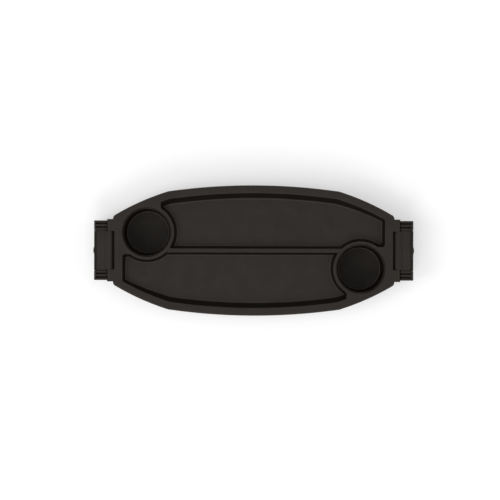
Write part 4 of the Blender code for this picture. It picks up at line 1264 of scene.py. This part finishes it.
def blend(tree, factor, first, second):
    """A colour between two, each of which is a socket or a colour."""
    inputs = {"Factor": factor, "A": first, "B": second}
    return add_node(tree, "Mix", inputs, data_type="RGBA").outputs["Result"]


def mottled(tree, color, low, high, size):
    """A colour that drifts between a darker and a lighter shade of itself."""
    shades = ([part * share for part in color] + [1.0] for share in (low, high))
    return blend(tree, noise(tree, size, 5.0, 0.0, 1.0), *shades)


def bumped(tree, height, distance):
    """The normal of a surface that a height moves by up to a distance."""
    return add_node(tree, "Bump", {"Distance": distance, "Height": height}).outputs["Normal"]


def moulded_plastic(name, color, edge_painted_brightness):
    """Matt moulded plastic: fine grain, faint mottling and slightly uneven gloss.

    Painted shade darkens the steep inner walls and a painted highlight lightens the eased edges.
    """
    finishes = bpy.context.scene.snack_tray_finishes
    made, tree, shader = new_material(name)
    shade = mottled(tree, color, *MOTTLING)
    # Blend in the darker copy for painted shade on walls and the lighter copy for painted highlight
    # on edges
    for word, share in (("inner_wall", finishes.wall_painted_darkness), ("eased_edge", edge_painted_brightness)):
        painted_mask = add_node(tree, "Attribute", {}, attribute_name=word)
        other = mottled(tree, [share * part for part in color], *MOTTLING)
        shade = blend(tree, painted_mask.outputs["Fac"], shade, other)
    rough = finishes.roughness
    looks = {
        "Base Color": shade,
        "Roughness": noise(tree, 0.006, 3.0, rough - 0.05, rough + 0.05),
        "Specular IOR Level": MATT_SHINE,
        "Normal": bumped(tree, noise(tree, finishes.grain, 2.0, 0.0, 1.0), finishes.grain_depth),
    }
    feed(tree, shader, looks)
    return made


def soft_rubber(name, color):
    """Dull black rubber with a dusty, pitted surface."""
    made, tree, shader = new_material(name)
    looks = {
        "Base Color": mottled(tree, color, 0.8, 1.25, 0.006),
        "Roughness": noise(tree, 0.002, 3.0, 0.78, 0.92),
        "Specular IOR Level": MATT_SHINE,
        "Normal": bumped(tree, noise(tree, 0.0004, 3.0, 0.0, 1.0), 0.00006),
    }
    feed(tree, shader, looks)
    return made


def bare_steel(name, color, low, high):
    """Steel whose gloss and shade drift, with fine drawing marks. low and high are roughnesses."""
    made, tree, shader = new_material(name)
    looks = {
        "Base Color": mottled(tree, color, 0.88, 1.08, 0.0025),
        "Metallic": 1.0,
        "Roughness": noise(tree, 0.0008, 3.0, low, high, 0.6),
        "Normal": bumped(tree, noise(tree, 0.00025, 2.0, 0.0, 1.0), 0.000008),
    }
    feed(tree, shader, looks)
    return made


def finish(name):
    """The material of a name, made when it is first asked for."""
    if name in bpy.data.materials:
        return bpy.data.materials[name]
    finishes = bpy.context.scene.snack_tray_finishes
    kinds = {
        # The last value of each plastic is how light its painted highlight on eased edges is
        "finished_tray_plastic": (moulded_plastic, finishes.tray_color, finishes.edge_painted_brightness),
        "finished_cup_plastic": (moulded_plastic, finishes.cup_color, finishes.cup_edge_painted_brightness),
        "finished_rubber": (soft_rubber, finishes.rubber_color),
        "finished_wire": (bare_steel, finishes.wire_color, 0.28, 0.42),
        "finished_steel": (bare_steel, finishes.steel_color, 0.22, 0.36),
    }
    make, *looks = kinds[name]
    return make(name, *looks)


# Pieces on their bodies


def new_object(name, data):
    """An object at the origin, linked to the scene."""
    made = bpy.data.objects.new(name, data)
    bpy.context.scene.collection.objects.link(made)
    return made


def piece(node, mesh, material):
    """An object that stands for a CAD node, with its finish."""
    mesh.name = node + "_finished"
    mesh.materials.append(finish(material))
    made = new_object(mesh.name, mesh)
    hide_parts(node)
    return made


def half_turned_mesh(mesh):
    """A copy of the mesh after half a turn about Z."""
    twin = mesh.copy()
    twin.transform(Matrix.Rotation(math.pi, 4, "Z"))
    return twin


def pair(mesh, mesh_side, word, body, material, slot):
    """The left and right pieces from the mesh of one of them, each on its side's body."""
    other = "left" if mesh_side == "right" else "right"
    for side, shape in ((other, half_turned_mesh(mesh)), (mesh_side, mesh)):
        made = piece(f"{side}_{word}", shape, material)
        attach(made, body.format(side=side))


class SNACKTRAY_OT_tray(bpy.types.Operator):
    """Build the moulded tray with its basin, collars, bosses and hinge lugs"""

    bl_idname = "snack_tray.tray"
    bl_label = "Tray"

    def execute(self, context):
        mesh = tray_mesh(context.scene.snack_tray_sizes)
        made = piece("tray_top", mesh, "finished_tray_plastic")
        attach(made, "tray")
        return {"FINISHED"}


class SNACKTRAY_OT_cup_wells(bpy.types.Operator):
    """Build the two cup wells with their screw flanges"""

    bl_idname = "snack_tray.cup_wells"
    bl_label = "Cup wells"

    def execute(self, context):
        mesh = cup_mesh(context.scene.snack_tray_sizes)
        pair(mesh, "left", "cup_well", "tray", "finished_cup_plastic", "dark_plastic")
        return {"FINISHED"}


class SNACKTRAY_OT_rail_hooks(bpy.types.Operator):
    """Build the two ribbed hooks that sit over the rails"""

    bl_idname = "snack_tray.rail_hooks"
    bl_label = "Rail hooks"

    def execute(self, context):
        mesh = hook_mesh(context.scene.snack_tray_sizes)
        pair(mesh, "right", "rail_hook", "tray", "finished_tray_plastic", "charcoal_plastic")
        return {"FINISHED"}


class SNACKTRAY_OT_rail_pads(bpy.types.Operator):
    """Build the four rubber pads in the hooks' channels"""

    bl_idname = "snack_tray.rail_pads"
    bl_label = "Rail pads"

    def execute(self, context):
        back = pad_mesh()
        front = back.copy()
        front.transform(Matrix.Translation((0.0, -PAD_LOW[1] - PAD_HIGH[1], 0.0)))
        shapes = {
            "left_front": half_turned_mesh(back),
            "left_back": half_turned_mesh(front),
            "right_front": front,
            "right_back": back,
        }
        for place, shape in shapes.items():
            made = piece(place + "_rail_pad", shape, "finished_rubber")
            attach(made, "tray")
        return {"FINISHED"}


class SNACKTRAY_OT_latch_levers(bpy.types.Operator):
    """Build the two sprung levers that hold the rails"""

    bl_idname = "snack_tray.latch_levers"
    bl_label = "Latch levers"

    def execute(self, context):
        mesh = lever_mesh(context.scene.snack_tray_sizes)
        finishes = ("finished_tray_plastic", "charcoal_plastic")
        pair(mesh, "right", "latch_lever", "{side}_latch", *finishes)
        return {"FINISHED"}


class SNACKTRAY_OT_hinge_pins(bpy.types.Operator):
    """Build the two hinge pins"""

    bl_idname = "snack_tray.hinge_pins"
    bl_label = "Hinge pins"

    def execute(self, context):
        pair(pin_mesh(), "right", "hinge_pin", "tray", "finished_steel", "screw_steel")
        return {"FINISHED"}


class SNACKTRAY_OT_latch_springs(bpy.types.Operator):
    """Build the two springs"""

    bl_idname = "snack_tray.latch_springs"
    bl_label = "Latch springs"

    def execute(self, context):
        mesh = spring_mesh()
        for side, sign, shape in (("left", -1, half_turned_mesh(mesh)), ("right", 1, mesh)):
            made = piece(f"{side}_latch_spring", shape, "finished_wire")
            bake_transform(made)
        return {"FINISHED"}


class SNACKTRAY_OT_screws(bpy.types.Operator):
    """Build the fourteen screws of the cup wells and hooks"""

    bl_idname = "snack_tray.screws"
    bl_label = "Screws"

    def execute(self, context):
        cups, hooks = cup_screw_places(), hook_screw_places()
        seat = SKIRT_Z - GAP - HOOK_FLANGE - GAP
        rows = (
            ("left_cup_screw", cups, FLANGE_Z - GAP),
            ("right_cup_screw", -cups, FLANGE_Z - GAP),
            ("left_hook_screw", -hooks, seat),
            ("right_hook_screw", hooks, seat),
        )
        for word, places, height in rows:
            for k, place in enumerate(places):
                shape = screw_mesh(place, height)
                made = piece(f"{word}_{k + 1}", shape, "finished_steel")
                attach(made, "tray")
        return {"FINISHED"}


class SNACKTRAY_OT_studio(bpy.types.Operator):
    """Set up the floor, sky, lamps and camera"""

    bl_idname = "snack_tray.studio"
    bl_label = "Studio"

    def execute(self, context):
        studio = context.scene.snack_tray_studio
        build_floor(studio)
        build_sky(studio)
        for word, place in LAMPS.items():
            build_lamp(f"studio_{word}_lamp", *place, getattr(studio, word + "_power"))
        build_camera(studio)
        context.scene.view_settings.view_transform = "Standard"
        return {"FINISHED"}


def seen_directly(tree):
    """1 for rays from the camera, mirrors and clear things, and 0 for rays that light things."""
    path = add_node(tree, "LightPath", {})
    total = path.outputs["Is Camera Ray"]
    for name in ("Is Glossy Ray", "Is Transmission Ray"):
        both = {0: total, 1: path.outputs[name]}
        total = add_node(tree, "Math", both, operation="ADD", use_clamp=True).outputs["Value"]
    return total


def build_floor(studio):
    """A white floor that lights the tray as plain white, and is seen in part as its own glow.

    The glow thins the shadow that is seen. Away from the tray it takes over, so the floor is
    seen as white out to its edges.
    """
    span = (-FLOOR_REACH, -FLOOR_REACH), (FLOOR_REACH, FLOOR_REACH)
    mesh = bpy.data.meshes.new("studio_floor")
    mesh.from_pydata([(x, y, -FLOOR_DROP) for x, y in rectangle(*span)], [], [(0, 1, 2, 3)])
    made, tree, shader = new_material("studio_floor")
    chalk = {"Base Color": (*studio.floor_color, 1.0), "Roughness": 1.0, "Specular IOR Level": 0.0}
    feed(tree, shader, chalk)
    glow = add_node(tree, "Emission", {"Strength": GLOW})
    away = add_node(tree, "VectorMath", {0: own_place(tree)}, operation="LENGTH")
    fade = {
        "From Min": SHADOW_REACH,
        "From Max": 2.0 * SHADOW_REACH,
        "To Min": 1.0 - studio.floor_share,
        "Value": away.outputs["Value"],
    }
    spread = add_node(tree, "MapRange", fade, interpolation_type="SMOOTHSTEP")
    both = {0: seen_directly(tree), 1: spread.outputs["Result"]}
    share = add_node(tree, "Math", both, operation="MULTIPLY").outputs["Value"]
    parts = {"Fac": share, 1: shader.outputs["BSDF"], 2: glow.outputs["Emission"]}
    mix = add_node(tree, "MixShader", parts)
    feed(tree, tree.nodes["Material Output"], {"Surface": mix.outputs["Shader"]})
    mesh.materials.append(made)
    new_object("studio_floor", mesh)


def build_sky(studio):
    """White all round where it is seen, and an even light of the sky's strength elsewhere."""
    world = bpy.data.worlds.new("studio_sky")
    world.use_nodes = True
    tree = world.node_tree
    ends = {"To Min": studio.sky, "To Max": 1.0, "Value": seen_directly(tree)}
    strength = add_node(tree, "MapRange", ends).outputs["Result"]
    white = {"Color": (1.0, 1.0, 1.0, 1.0), "Strength": strength}
    feed(tree, tree.nodes["Background"], white)
    bpy.context.scene.world = world


def build_lamp(name, degrees, rise, power):
    """A large soft lamp, so many degrees round from +X and so many up, that faces the tray."""
    lamp = bpy.data.lights.new(name, "AREA")
    lamp.shape = "DISK"
    lamp.size = LAMP_SIZE
    lamp.energy = power
    around, up = math.radians(degrees), math.radians(rise)
    flat = LAMP_AWAY * math.cos(up)
    away = (flat * math.cos(around), flat * math.sin(around), LAMP_AWAY * math.sin(up))
    made = new_object(name, lamp)
    made.location = away
    made.rotation_euler = Vector(away).to_track_quat("Z", "Y").to_euler()


def build_camera(studio):
    """Straight down on the tray, turned by the eighth of a degree that the photograph shows."""
    lens = bpy.data.cameras.new("studio_camera")
    lens.lens = lens.sensor_width * studio.camera_height / studio.view_width
    made = new_object("studio_camera", lens)
    made.location = (*CAMERA_PLACE, RIM_Z + studio.camera_height)
    made.rotation_euler = (0.0, 0.0, math.radians(CAMERA_TURN))
    bpy.context.scene.camera = made


OPERATORS = (
    SNACKTRAY_OT_tray,
    SNACKTRAY_OT_cup_wells,
    SNACKTRAY_OT_rail_hooks,
    SNACKTRAY_OT_rail_pads,
    SNACKTRAY_OT_latch_levers,
    SNACKTRAY_OT_hinge_pins,
    SNACKTRAY_OT_latch_springs,
    SNACKTRAY_OT_screws,
    SNACKTRAY_OT_studio,
)


class SNACKTRAY_PT_panel(bpy.types.Panel):
    """Lists the tray's pieces and settings"""

    bl_idname = "SNACKTRAY_PT_panel"
    bl_label = "Snack Tray"
    bl_space_type = "VIEW_3D"
    bl_region_type = "UI"
    bl_category = "Snack Tray"

    def draw(self, context):
        for operator in OPERATORS:
            self.layout.operator(operator.bl_idname)
        scene = context.scene
        groups = (scene.snack_tray_sizes, scene.snack_tray_finishes, scene.snack_tray_studio)
        for group in groups:
            box = self.layout.box()
            for name in group.__annotations__:
                box.prop(group, name)


CLASSES = (TraySizes, TrayFinishes, TrayStudio, *OPERATORS, SNACKTRAY_PT_panel)


def register():
    for made in CLASSES:
        bpy.utils.register_class(made)
    bpy.types.Scene.snack_tray_sizes = PointerProperty(type=TraySizes)
    bpy.types.Scene.snack_tray_finishes = PointerProperty(type=TrayFinishes)
    bpy.types.Scene.snack_tray_studio = PointerProperty(type=TrayStudio)


def unregister():
    del bpy.types.Scene.snack_tray_studio
    del bpy.types.Scene.snack_tray_finishes
    del bpy.types.Scene.snack_tray_sizes
    for made in reversed(CLASSES):
        bpy.utils.unregister_class(made)


def main():
    """Builds the pieces and the stage."""
    register()
    bpy.ops.snack_tray.tray()
    bpy.ops.snack_tray.cup_wells()
    bpy.ops.snack_tray.rail_hooks()
    bpy.ops.snack_tray.rail_pads()
    bpy.ops.snack_tray.latch_levers()
    bpy.ops.snack_tray.hinge_pins()
    bpy.ops.snack_tray.latch_springs()
    bpy.ops.snack_tray.screws()
    bpy.ops.snack_tray.studio()
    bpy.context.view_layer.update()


if __name__ == "__main__":
    main()
